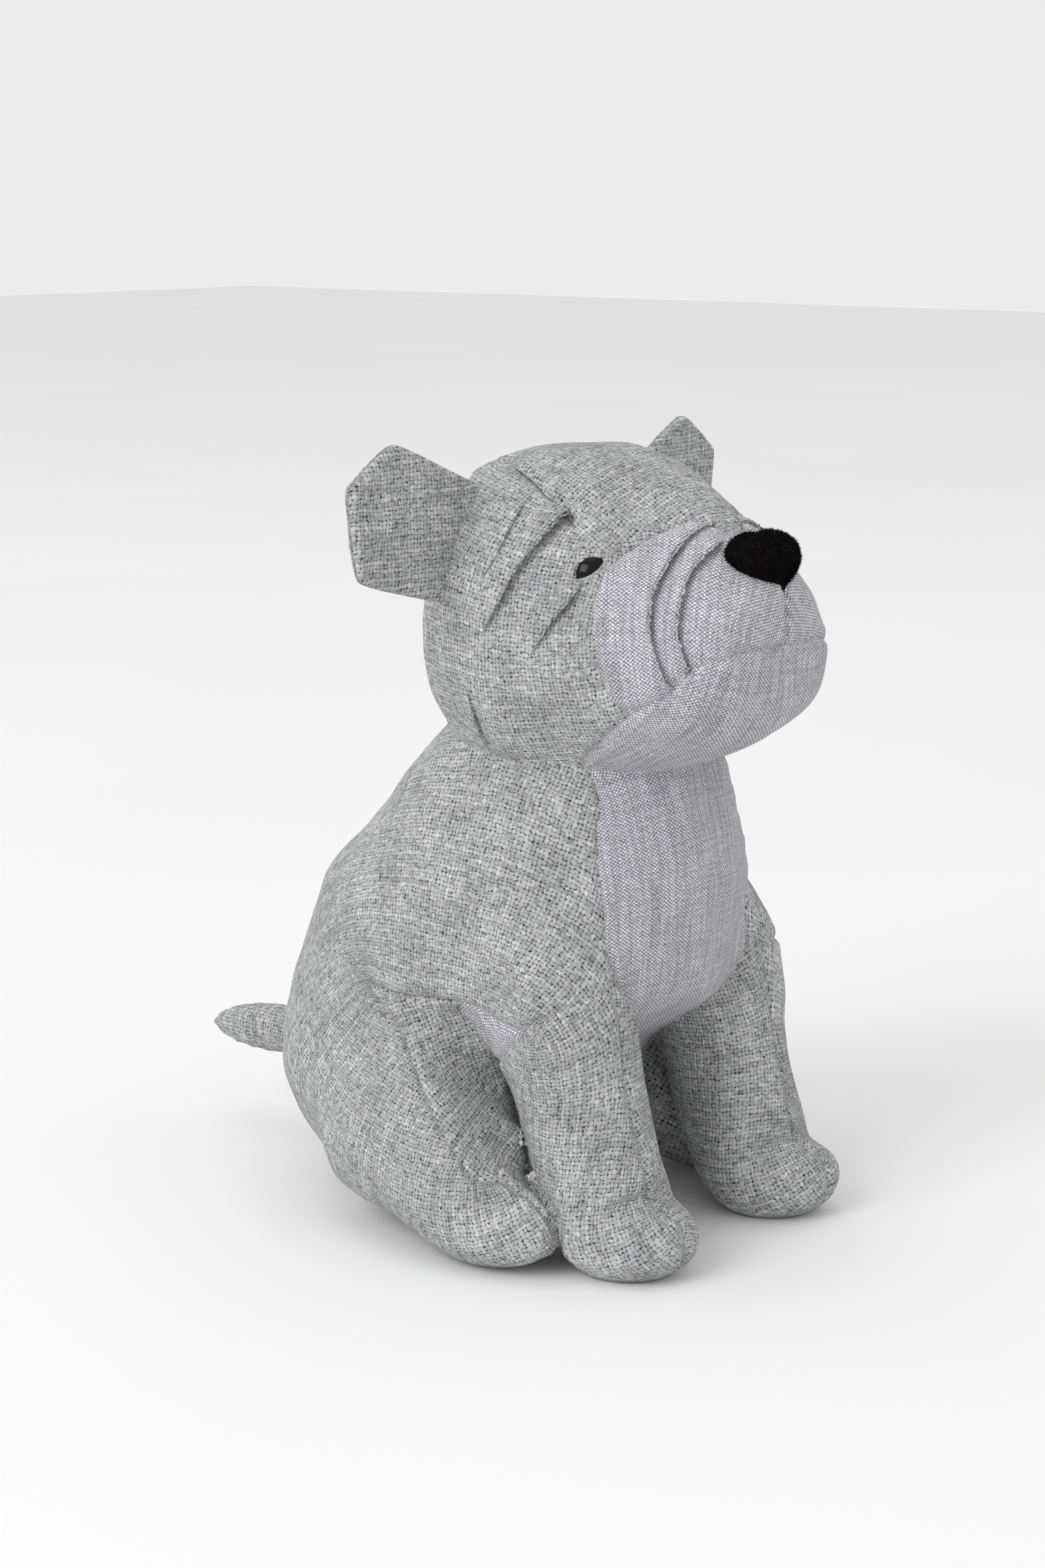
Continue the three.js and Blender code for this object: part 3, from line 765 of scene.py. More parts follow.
for fold in FOLDS:
    shift, depth = fold.shape(skin, normal)
    move += shift
    fold_depth = np.maximum(fold_depth, depth)
depth_here = seam_depth[nearest_seam]
at_seam = seam_place[nearest_seam]
pucker = random_field(13, 6.5)(at_seam) * 0.3 + random_field(14, 3.4)(at_seam) * 0.16
trench = -np.exp(-(seam_gap / 1.15) ** 2) * depth_here
allowance = 0.3 * np.exp(-((seam_gap - 3.3) / 1.9) ** 2) * np.minimum(depth_here, 0.9)
ruffle = pucker * np.exp(-((seam_gap - 2.2) / 2.4) ** 2) * np.minimum(depth_here, 0.9)
move += normal * (trench + (allowance + ruffle) * calm)[:, None]
for side in (1, -1):
    at, out, long_way, short_way = eye_axes(side)
    d = skin - at
    r = np.linalg.norm(d, axis=1)
    close = r < 16
    edge = np.abs(slit(side)(skin))
    lid = (1.5 + 0.5 * np.exp(-((d @ short_way - 3.5) / 2.2) ** 2)) * np.exp(-(r / 7) ** 2)
    roll = -1.5 * np.exp(-(edge / 0.75) ** 2) * (r < 8)
    move[close] += normal[close] * (lid + roll)[close][:, None]
# a short dart in the middle of the chin
dart = np.exp(-(skin[:, X] / 0.7) ** 2) * ease(skin[:, Z], 189, 194) * ease(-skin[:, Z], -205, -201)
move -= normal * (1.1 * dart * (skin[:, Y] < -80))[:, None]
skin = skin + move
skin = relax(skin, tri, np.clip(fold_depth / 1.2, 0, 0.55), 1)
skin[:, Z] = np.maximum(skin[:, Z], 0)


# ---------------------------------------------------------------- cloth coordinates
FLAT_TRIANGLES = 2400     # a patch is laid flat with about so many triangles


def flatten(points, triangles, up, anchor):
    """Lay an open patch flat with little stretch: for each point, its place on the cloth in mm.
    The cloth is turned so that round the anchor its threads run along up."""
    full = new_object("light_scratch", points, triangles)
    full.modifiers.new("thin", "DECIMATE").ratio = min(1.0, FLAT_TRIANGLES / len(triangles))
    mesh = bpy.data.meshes.new_from_object(full.evaluated_get(bpy.context.evaluated_depsgraph_get()))
    drop(full)
    obj = linked("flat_scratch", mesh)
    bpy.ops.object.select_all(action="DESELECT")
    bpy.context.view_layer.objects.active = obj
    obj.select_set(True)
    bpy.ops.object.mode_set(mode="EDIT")
    bpy.ops.mesh.select_all(action="SELECT")
    bpy.ops.uv.unwrap(method="MINIMUM_STRETCH", margin=0.0)
    bpy.ops.object.mode_set(mode="OBJECT")
    loops = len(mesh.loops)
    uv, corner = np.zeros(loops * 2), np.zeros(loops, int)
    mesh.uv_layers.active.data.foreach_get("uv", uv)
    mesh.loops.foreach_get("vertex_index", corner)
    co, t = arrays_of(mesh)
    drop(obj)
    flat = np.zeros((len(co), 2))
    flat[corner] = uv.reshape(-1, 2)
    a, b = co[t[:, 1]] - co[t[:, 0]], co[t[:, 2]] - co[t[:, 0]]
    fa, fb = flat[t[:, 1]] - flat[t[:, 0]], flat[t[:, 2]] - flat[t[:, 0]]
    area = np.linalg.norm(np.cross(a, b), axis=1) / 2
    det = fa[:, 0] * fb[:, 1] - fa[:, 1] * fb[:, 0]
    flat *= math.sqrt(area.sum() / max(abs(det.sum()) / 2, 1e-12))
    if det.sum() < 0:
        flat[:, 0] *= -1
    fa, fb = flat[t[:, 1]] - flat[t[:, 0]], flat[t[:, 2]] - flat[t[:, 0]]
    det = fa[:, 0] * fb[:, 1] - fa[:, 1] * fb[:, 0]
    good = np.abs(det) > 1e-6
    # how far the flat patch moves for a step along up, averaged over the patch
    up = np.array(up, float)
    ua, ub = a @ up, b @ up
    flow = np.stack([(ua * fb[:, 1] - ub * fa[:, 1]), (ub * fa[:, 0] - ua * fb[:, 0])], axis=1)[good]
    gap = np.linalg.norm(co[t[:, 0]] - anchor, axis=1)
    share = area * (np.exp(-(gap / 22) ** 2) + 1e-6)
    flow = (flow / det[good][:, None] * share[good][:, None]).sum(axis=0)
    turn = math.atan2(flow[0], flow[1])
    c, s = math.cos(turn), math.sin(turn)
    flat = flat @ np.array([[c, s], [-s, c]])
    # back to the full patch
    tree = BVHTree.FromPolygons(co.tolist(), t.tolist())
    result = np.zeros((len(points), 2))
    for k, p in enumerate(points):
        i, j, l = t[tree.find_nearest(Vector(p))[2]]
        e1, e2, d = co[j] - co[i], co[l] - co[i], np.array(p) - co[i]
        d11, d12, d22 = e1 @ e1, e1 @ e2, e2 @ e2
        det = d11 * d22 - d12 * d12
        v = (d22 * (d @ e1) - d12 * (d @ e2)) / det
        w = (d11 * (d @ e2) - d12 * (d @ e1)) / det
        v, w = min(max(v, -0.5), 1.5), min(max(w, -0.5), 1.5)
        result[k] = flat[i] * (1 - v - w) + flat[j] * v + flat[l] * w
    return relax_flat(result, triangles)


def relax_flat(flat, triangles):
    """Smooth the cloth coordinates inside a patch a little, leaving its border."""
    e, count = np.unique(np.sort(sides(triangles), axis=1), axis=0, return_counts=True)
    free = np.ones(len(flat))
    free[e[count == 1].ravel()] = 0
    return relax(flat, triangles, free, 6)


# ---------------------------------------------------------------- cloth pieces
CLOTH = 1.2              # thickness of a cover, mm
FLAT_UNIT = 100.0        # mm of cloth for one unit of the cloth coordinates


def to_frame(points):
    """From the modelling axes in mm to the row frame in metres."""
    return (np.asarray(points, float) - (0, CENTRE_Y, 0)) * MM


def shell(name, points, triangles, flat, point_normal, inner=None):
    """A piece of cloth with thickness: the outer face, an inner face and the cut edge between."""
    n = len(points)
    inner = points - point_normal * CLOTH if inner is None else inner
    inner[:, Z] = np.where(points[:, Z] < 0.02, np.maximum(inner[:, Z], CLOTH), inner[:, Z])
    e = sides(triangles)
    _, index, count = np.unique(np.sort(e, axis=1), axis=0, return_index=True, return_counts=True)
    border = e[index[count == 1]]
    rim = np.vstack([
        np.stack([border[:, 1], border[:, 0], border[:, 0] + n], axis=1),
        np.stack([border[:, 1], border[:, 0] + n, border[:, 1] + n], axis=1)])
    faces = np.vstack([triangles, triangles[:, ::-1] + n, rim])
    all_points = to_frame(np.vstack([points, inner]))
    mesh = bpy.data.meshes.new(name)
    mesh.vertices.add(len(all_points))
    mesh.vertices.foreach_set("co", all_points.ravel())
    mesh.loops.add(faces.size)
    mesh.loops.foreach_set("vertex_index", faces.ravel())
    mesh.polygons.add(len(faces))
    mesh.polygons.foreach_set("loop_start", np.arange(0, faces.size, 3))
    mesh.polygons.foreach_set("use_smooth", np.ones(len(faces), bool))
    mesh.update()
    both_flat = np.vstack([flat, flat + (0.8, 0.8)])
    mesh.uv_layers.new(name="cloth").data.foreach_set("uv", (both_flat[faces.ravel()] / FLAT_UNIT).ravel())
    corner_normals = np.vstack([point_normal, -point_normal])[faces.ravel()]
    a, b, c = (all_points[rim[:, k]] for k in range(3))
    rim_normals = np.cross(b - a, c - a)
    rim_normals /= np.maximum(np.linalg.norm(rim_normals, axis=1), 1e-12)[:, None]
    corner_normals[-len(rim) * 3:] = np.repeat(rim_normals, 3, axis=0)
    mesh.normals_split_custom_set(corner_normals.tolist())
    return linked(name, mesh)


UP, FRONT = (0, 0, 1), (0, -1, 0)
# group: the labels laid flat together, the direction of the threads, where, and the cloth
GROUPS = [
    (["side", "leg"], UP, (60, 2, 118), "tweed"), (["leg_inner"], UP, (20, -48, 50), "tweed"),
    (["thigh"], (0, -0.5, 0.87), (40, 0, 40), "tweed"), (["base"], FRONT, (0, 38, 0), "tweed"),
    (["chest"], UP, (0, -66, 125), "chambray"), (["tail"], FRONT, (8, 120, 36), "tweed"),
    (["cheek"], UP, (56, -30, 200), "tweed"), (["crown"], FRONT, (0, -30, 255), "tweed"),
    (["muzzle"], (0.25, -0.35, 0.9), (36, -90, 210), "chambray"),
    (["chin"], (0, -0.5, 0.87), (0, -95, 185), "chambray"),
]
NODE_OF = {
    "side": "body_side_*", "leg": "front_leg_outer_*", "leg_inner": "front_leg_inner_*",
    "thigh": "inner_thigh_*", "base": "base_panel", "chest": "chest_belly_panel",
    "tail": "tail_*_half", "cheek": "cheek_*", "crown": "crown_panel", "muzzle": "muzzle_*",
    "chin": "chin_panel"}


def contact_loops(half):
    """Closed borders between a front leg and the haunch it leans on, in point order."""
    legs = np.isin(piece, [CODE["leg"] * 2 + half, CODE["leg_inner"] * 2 + half])
    theirs = {(a, b) for a, b in sides(tri[~legs])}
    after = {}
    for t in tri[legs]:
        for a, b in sides(t[None]):
            if (b, a) in theirs:
                after.setdefault(a, []).append(b)
    found = []
    while after:
        start = next(iter(after))
        loop, at = [start], start
        while True:
            ways = after[at]
            way = ways.pop()
            if not ways:
                del after[at]
            if way == start or way not in after:
                break
            loop.append(way)
            at = way
        if way == start:
            found.append(np.array(loop))
    return found


def contact_patch(loop):
    """A thin film over a closed border: rings toward its middle, drawn tight."""
    edge = skin[loop]
    centre, count = edge.mean(axis=0), len(loop)
    rings = max(3, int(round(np.linalg.norm(edge - centre, axis=1).mean() / 1.5)))
    points = [centre + (edge - centre) * (1 - k / rings) for k in range(rings)] + [centre[None]]
    points = np.vstack(points)
    here = np.arange(count)
    ahead = (here + 1) % count
    triangles = []
    for k in range(rings - 1):
        a, b = k * count, (k + 1) * count
        triangles += [np.stack([ahead + a, here + a, here + b], axis=1),
                      np.stack([ahead + a, here + b, ahead + b], axis=1)]
    last = (rings - 1) * count
    triangles.append(np.stack([ahead + last, here + last, np.full(count, rings * count)], axis=1))
    triangles = np.vstack(triangles)
    return relax(points, triangles, (np.arange(len(points)) >= count) * 1.0, 60), triangles


CONTACT_TOP = 54          # the film closes only borders that lie below this height, mm
FILM_GAP = 0.15           # each film lies so far to its own side, mm
PATCHES = {}
for half, word in ((0, "right"), (1, "left")):
    for loop in contact_loops(half):
        if len(loop) < 5 or skin[loop][:, Z].max() > CONTACT_TOP:
            continue
        points, triangles = contact_patch(loop)
        out = normals_of(points, triangles)
        lift = out * (np.arange(len(points)) >= len(loop))[:, None] * FILM_GAP
        PATCHES.setdefault("front_leg_inner_" + word, []).append((points - lift, triangles, out))
        PATCHES.setdefault("inner_thigh_" + word, []).append((points + lift, triangles[:, ::-1], -out))

pieces = {}
for names, up, anchor, cloth in GROUPS:
    for half in (0, 1):
        codes = [CODE[n] * 2 + half for n in names]
        chosen = np.flatnonzero(np.isin(piece, codes))
        if not len(chosen):
            continue
        points, triangles, _ = compact(skin, tri[chosen])
        side = 1 if half or codes[0] // 2 not in HALVED else -1
        flat = flatten(points, triangles, np.array(up) * (side, 1, 1), np.array(anchor) * (side, 1, 1))
        group_normal = normals_of(points, triangles)
        for code in codes:
            own, part, used = compact(points, triangles[piece[chosen] == code])
            node = NODE_OF[LABELS[code // 2]]
            if code // 2 in HALVED:
                node = node.replace("*", ("right", "left")[half])
            cover = [own, part, flat[used], group_normal[used]]
            for more, its_tri, out in PATCHES.get(node, []):
                add = (more, its_tri + len(cover[0]), more[:, [X, Z]], out)
                cover = [np.vstack([old, new]) for old, new in zip(cover, add)]
            obj = shell("cloth_" + node, *cover)
            obj["cloth"] = cloth
            pieces[node] = obj


# ---------------------------------------------------------------- ears, nose and eyes
EAR = [(20, 246), (40, 250), (76, 266.5), (96, 253), (92, 222.5), (58, 214), (30, 208)]
EAR_PLANE_Y, EAR_PLANE_X, EAR_LEAN = -2, 50, 0.152


def rounded(outline, rounds, share):
    """Cut the corners of a closed outline, over and over."""
    p = np.asarray(outline, float)
    for _ in range(rounds):
        q = np.roll(p, -1, axis=0)
        p = np.stack([p * (1 - share) + q * share, p * share + q * (1 - share)], axis=1).reshape(-1, 2)
        share = 0.25
    return p


SKIN_TREE = BVHTree.FromPolygons(skin.tolist(), tri.tolist())


def outside_skin(points):
    """Distance outside the skin, negative inside it."""
    value = np.zeros(len(points))
    for k, p in enumerate(points):
        place, out, _, gap = SKIN_TREE.find_nearest(Vector(p))
        value[k] = gap if (Vector(p) - place).dot(out) > 0 else -gap
    return value


def ear(side, word):
    """Two padded faces sewn round the edge."""
    edge = within(rounded(EAR, 4, 0.09), X, Z)
    step = 1.0
    gx, gz = np.arange(18, 100, step), np.arange(204, 270, step)
    x, z = (v.ravel() for v in np.meshgrid(gx, gz, indexing="ij"))
    points = np.stack([x, np.zeros_like(x), z], axis=1)
    a = (np.arange(len(gx) - 1)[:, None] * len(gz) + np.arange(len(gz) - 1)[None, :]).ravel()
    b, c, d = a + len(gz), a + len(gz) + 1, a + 1
    grid = np.vstack([np.stack([a, b, c], axis=1), np.stack([a, c, d], axis=1)])
    mark = np.zeros(len(grid), int)
    points, grid, mark = carve(points, grid, mark, [0], edge, 1)
    points, grid, _ = compact(points, grid[mark == 1])

    def place(p, out):
        y = EAR_PLANE_Y + (p[:, X] - EAR_PLANE_X) * EAR_LEAN
        y -= 2.2 * np.maximum(0, (p[:, X] - 60) / 36) ** 2           # the tip curls forward
        return np.stack([side * p[:, X], y + out, p[:, Z]], axis=1)

    mark = np.zeros(len(grid), int)
    points, grid, mark = carve(
        points, grid, mark, [0], lambda p: outside_skin(place(p, 0)) + 3.0, 1, snap=0.1)
    points, grid, _ = compact(points, grid[mark == 1])
    inside = np.maximum(edge(points), 0)
    puff = np.sqrt(np.maximum(1 - (1 - np.minimum(inside / 4.5, 1)) ** 2, 0))
    root = ease(points[:, X], 50, 66)
    border = np.exp(-((inside - 2.0) / 2.0) ** 2)
    for face, way in (("front", -1), ("back", 1)):
        lump = random_field(40 + way + side, 13)(points) * 0.35
        lump += random_field(50 + way, 5)(points) * 0.28 * border
        seam_in = -0.35 * np.exp(-((inside - 3.4) / 1.0) ** 2) * root
        thick = 0.7 + puff * (1.9 + lump + seam_in)
        surface = place(points, way * thick)
        core = place(points, way * 0.06)
        faces = grid if side * way < 0 else grid[:, ::-1]
        n = normals_of(surface, faces)
        if (n[:, Y] * way).mean() < 0:
            faces = faces[:, ::-1]
            n = -n
        flat = points[:, [X, Z]] * (side, 1) + (37 * way, 11)
        yield face, shell("cloth_ear_%s_%s" % (face, word), surface, faces, flat, n, inner=core)


for side, word in ((1, "left"), (-1, "right")):
    for face, obj in ear(side, word):
        obj["cloth"] = "tweed"
        pieces["ear_%s_%s" % (face, word)] = obj


def solid_of(node):
    """Points in mm and triangles of a CAD node, in the modelling axes."""
    source = bpy.data.objects[node]
    mesh = source.data
    mesh.calc_loop_triangles()
    co = np.array([source.matrix_world @ v.co for v in mesh.vertices]) / MM
    return co + (0, CENTRE_Y, 0), [tuple(t.vertices) for t in mesh.loop_triangles]


def outside_at(p):
    """True outside the skin: a ray crosses it an even number of times."""
    crossings, place = 0, Vector(p)
    while crossings < 20:
        hit, _, _, _ = SKIN_TREE.ray_cast(place, Vector((0.12, 0.06, 1)))
        if hit is None:
            break
        crossings += 1
        place = hit + Vector((0.12, 0.06, 1)) * 1e-3
    return crossings % 2 == 0


STUFFING_DRAWN_IN = 18    # mm


def stuffed(node, voxel, clearance):
    """A rounded bag of fibre: the node's form, kept a clearance inside the covers."""
    points, triangles = voxel_skin([solid_of(node)], voxel)
    points = relax(points, triangles, 1.0, 6)
    if node == "torso_filling":
        # drawn in and back where the belly turns in behind the front legs
        x, y, z = points.T
        hollow = np.exp(-((y + 8) / 20) ** 2) * ease(z, 12, 30) * ease(-z, -96, -82)
        hollow *= ease(np.abs(x), 24, 42) * STUFFING_DRAWN_IN
        points = points + np.stack([-np.sign(x) * 0.75 * hollow, 0.66 * hollow, 0 * hollow], axis=1)
    for turn in range(4):
        for k, p in enumerate(points):
            place, out, _, gap = SKIN_TREE.find_nearest(Vector(p))
            if (Vector(p) - place).dot(out) > -clearance and (gap < clearance or outside_at(p)):
                points[k] = np.array(place - out * clearance)
        if turn < 3:
            points = relax(points, triangles, 1.0, 2)
    return points, triangles


FILLINGS = {                      # the size of the voxels that each is built from, mm
    "torso_filling": 5.0, "neck_filling": 3.0, "head_filling": 5.0, "front_leg_filling_left": 3.0,
    "front_leg_filling_right": 3.0, "tail_filling": 3.0}
CLEARANCE = 2.6                   # between the stuffing and the outside of the covers, mm
for node, voxel in FILLINGS.items():
    points, triangles = stuffed(node, voxel, CLEARANCE)
    pieces[node] = new_object("fibre_" + node, to_frame(points), triangles)
    pieces[node]["cloth"] = "fibre_fill"

# nose: a short-pile cover over a pad
nose, nose_tri = voxel_skin([solid_of("nose_cover")], 0.7)
nose = relax(nose, nose_tri, 1.0, 3)
nose -= normals_of(nose, nose_tri) * 0.8 * ease(-nose[:, Y:Y + 1], 92, 99)


def heart(points):
    """Pull a rounded nose into a narrower heart with a low tip."""
    points = points.copy()
    low_part = np.clip((229 - points[:, Z]) / 13, 0, 1)
    points[:, Z] -= 1.2 + 3.6 * low_part ** 2 * np.exp(-(points[:, X] / 7) ** 2)
    points[:, Z] -= 2.6 * np.exp(-(points[:, X] / 3.6) ** 2) * ease(points[:, Z], 231, 236)
    points[:, X] *= 0.84 * (1 - 0.34 * low_part)
    return points


nose = heart(nose)
pad, pad_tri = voxel_skin([solid_of("nose_filling")], 0.8)
pad = relax(pad, pad_tri, 1.0, 4)
pad = heart(pad - normals_of(pad, pad_tri) * 0.9)
pad_middle = pad.mean(axis=0)
pad = pad_middle + (pad - pad_middle) * (0.84, 0.8, 0.84)
pieces["nose_filling"] = new_object("fibre_nose_filling", to_frame(pad), pad_tri)
pieces["nose_filling"]["cloth"] = "fibre_fill"
nose_middle = (nose.min(axis=0) + nose.max(axis=0)) / 2
corners = nose[nose_tri]
face_out = np.cross(corners[:, 1] - corners[:, 0], corners[:, 2] - corners[:, 0])
face_area = np.linalg.norm(face_out, axis=1) / 2
face_out /= np.maximum(2 * face_area, 1e-9)[:, None]
centre = corners.mean(axis=1)
outward = ((centre - nose_middle - (0, 2, 0)) * face_out).sum(axis=1) > 0
clear = outside_skin(centre) > 0.5
chance = face_area * (outward & clear)
rng = np.random.default_rng(5)
BLADES = 9000
root_face = rng.choice(len(nose_tri), BLADES, p=chance / chance.sum())
share = rng.dirichlet((1, 1, 1), BLADES)
root = (corners[root_face] * share[:, :, None]).sum(axis=1)
lean = unit(face_out[root_face] + rng.normal(0, 0.42, (BLADES, 3)) + (0, 0, -0.25))
across = unit(np.cross(lean, rng.normal(size=(BLADES, 3))))
length = rng.uniform(0.9, 1.7, BLADES)[:, None]
start, wide = root - face_out[root_face] * 0.4, across * 0.14
blade = np.stack([start - wide, start + wide, start + lean * length * 0.6 + wide * 0.6,
                  start + lean * length, start + lean * length * 0.6 - wide * 0.6], axis=1).reshape(-1, 3)
fan = np.array([[0, 1, 2], [0, 2, 4], [4, 2, 3]])
blade_tri = (np.arange(BLADES)[:, None, None] * 5 + fan[None]).reshape(-1, 3) + len(nose)
pieces["nose_cover"] = new_object(
    "fur_nose", to_frame(np.vstack([nose, blade])), np.vstack([nose_tri, blade_tri]))
pieces["nose_cover"]["cloth"] = "nose_fur"

# eyes: a glossy dome on a flange, with its shank behind
EYE_PROFILE = [(0.0, 0.0), (1.2, -0.09), (2.4, -0.37), (3.6, -0.86), (4.6, -1.45), (5.4, -2.1), (5.9, -2.75),
               (6.0, -3.3), (5.7, -3.9), (4.6, -4.3), (2.2, -4.5), (1.9, -5.0), (1.9, -10.4), (1.5, -10.9),
               (0.0, -11.0)]
EYE_SINK = 0.1
for side, word in ((1, "left"), (-1, "right")):
    at, out, long_way, short_way = eye_axes(side)
    turns = 40
    points, faces = [at - out * EYE_SINK], []
    for radius, height in EYE_PROFILE[1:-1]:
        for k in range(turns):
            angle = 2 * math.pi * k / turns
            ring = long_way * math.cos(angle) + short_way * math.sin(angle)
            points.append(at + out * (height - EYE_SINK) + ring * radius)
    points.append(at + out * (EYE_PROFILE[-1][1] - EYE_SINK))
    rings = len(EYE_PROFILE) - 2
    for k in range(turns):
        n = (k + 1) % turns
        faces.append((0, 1 + k, 1 + n))
        faces.append((len(points) - 1, 1 + (rings - 1) * turns + n, 1 + (rings - 1) * turns + k))
        for r in range(rings - 1):
            a, b = 1 + r * turns, 1 + (r + 1) * turns
            faces.append((a + k, b + k, b + n, a + n))
    if np.dot(np.cross(long_way, short_way), out) < 0:
        faces = [f[::-1] for f in faces]
    pieces["eye_" + word] = new_object("button_eye_" + word, to_frame(points), faces)
    pieces["eye_" + word]["cloth"] = "eye_plastic"


# ---------------------------------------------------------------- materials
class Shade:
    """Short names for building a node material. A value is a socket or a constant."""

    def __init__(self, name):
        self.material = bpy.data.materials.new(name)
        self.material.use_nodes = True
        self.tree = self.material.node_tree
        self.surface = self.tree.nodes["Principled BSDF"]

    def put(self, kind, inputs=(), **settings):
        node = self.tree.nodes.new(kind)
        for key, value in settings.items():
            setattr(node, key, value)
        for socket, value in dict(inputs).items():
            self.feed(node.inputs[socket], value)
        return node

    def feed(self, socket, value):
        if isinstance(value, bpy.types.NodeSocket):
            self.tree.links.new(value, socket)
        else:
            socket.default_value = value

    def math(self, operation, *values):
        return self.put("ShaderNodeMath", enumerate(values), operation=operation).outputs[0]

    def times(self, first, second):
        return self.math("MULTIPLY", first, second)

    def less(self, first, second):
        return self.math("SUBTRACT", first, second)

    def scaled(self, value, by, add):
        return self.math("MULTIPLY_ADD", value, by, add)

    def vector(self, operation, *values):
        return self.put("ShaderNodeVectorMath", enumerate(values), operation=operation).outputs[0]

    def point(self, x, y, z):
        return self.put("ShaderNodeCombineXYZ", enumerate((x, y, z))).outputs[0]

    def place(self):
        return self.put("ShaderNodeTexCoord").outputs["Object"]

    def noise(self, vector, scale, detail=2.0, rough=0.5):
        """A number and a colour."""
        return self.put("ShaderNodeTexNoise", {
            "Vector": vector, "Scale": scale, "Detail": detail, "Roughness": rough}).outputs

    def mix(self, share, first, second):
        return self.put("ShaderNodeMix", {0: share, 6: first, 7: second}, data_type="RGBA").outputs[2]

    def ramp(self, value, stops):
        node = self.put("ShaderNodeValToRGB", {0: value})
        elements = node.color_ramp.elements
        while len(elements) < len(stops):
            elements.new(0.5)
        for element, (place, colour) in zip(elements, stops):
            element.position = place
            element.color = (*colour, 1)
        return node.outputs[0]

    def smoothstep(self, value, low, high, to_low=0.0, to_high=1.0):
        return self.put("ShaderNodeMapRange", enumerate((value, low, high, to_low, to_high)),
                        interpolation_type="SMOOTHSTEP").outputs[0]

    def bump(self, height, distance):
        return self.put("ShaderNodeBump", {
            "Height": height, "Distance": distance, "Strength": 1.0}).outputs[0]

    def finish(self, **inputs):
        for key, value in inputs.items():
            self.feed(self.surface.inputs[key.replace("_", " ")], value)
        return self.material


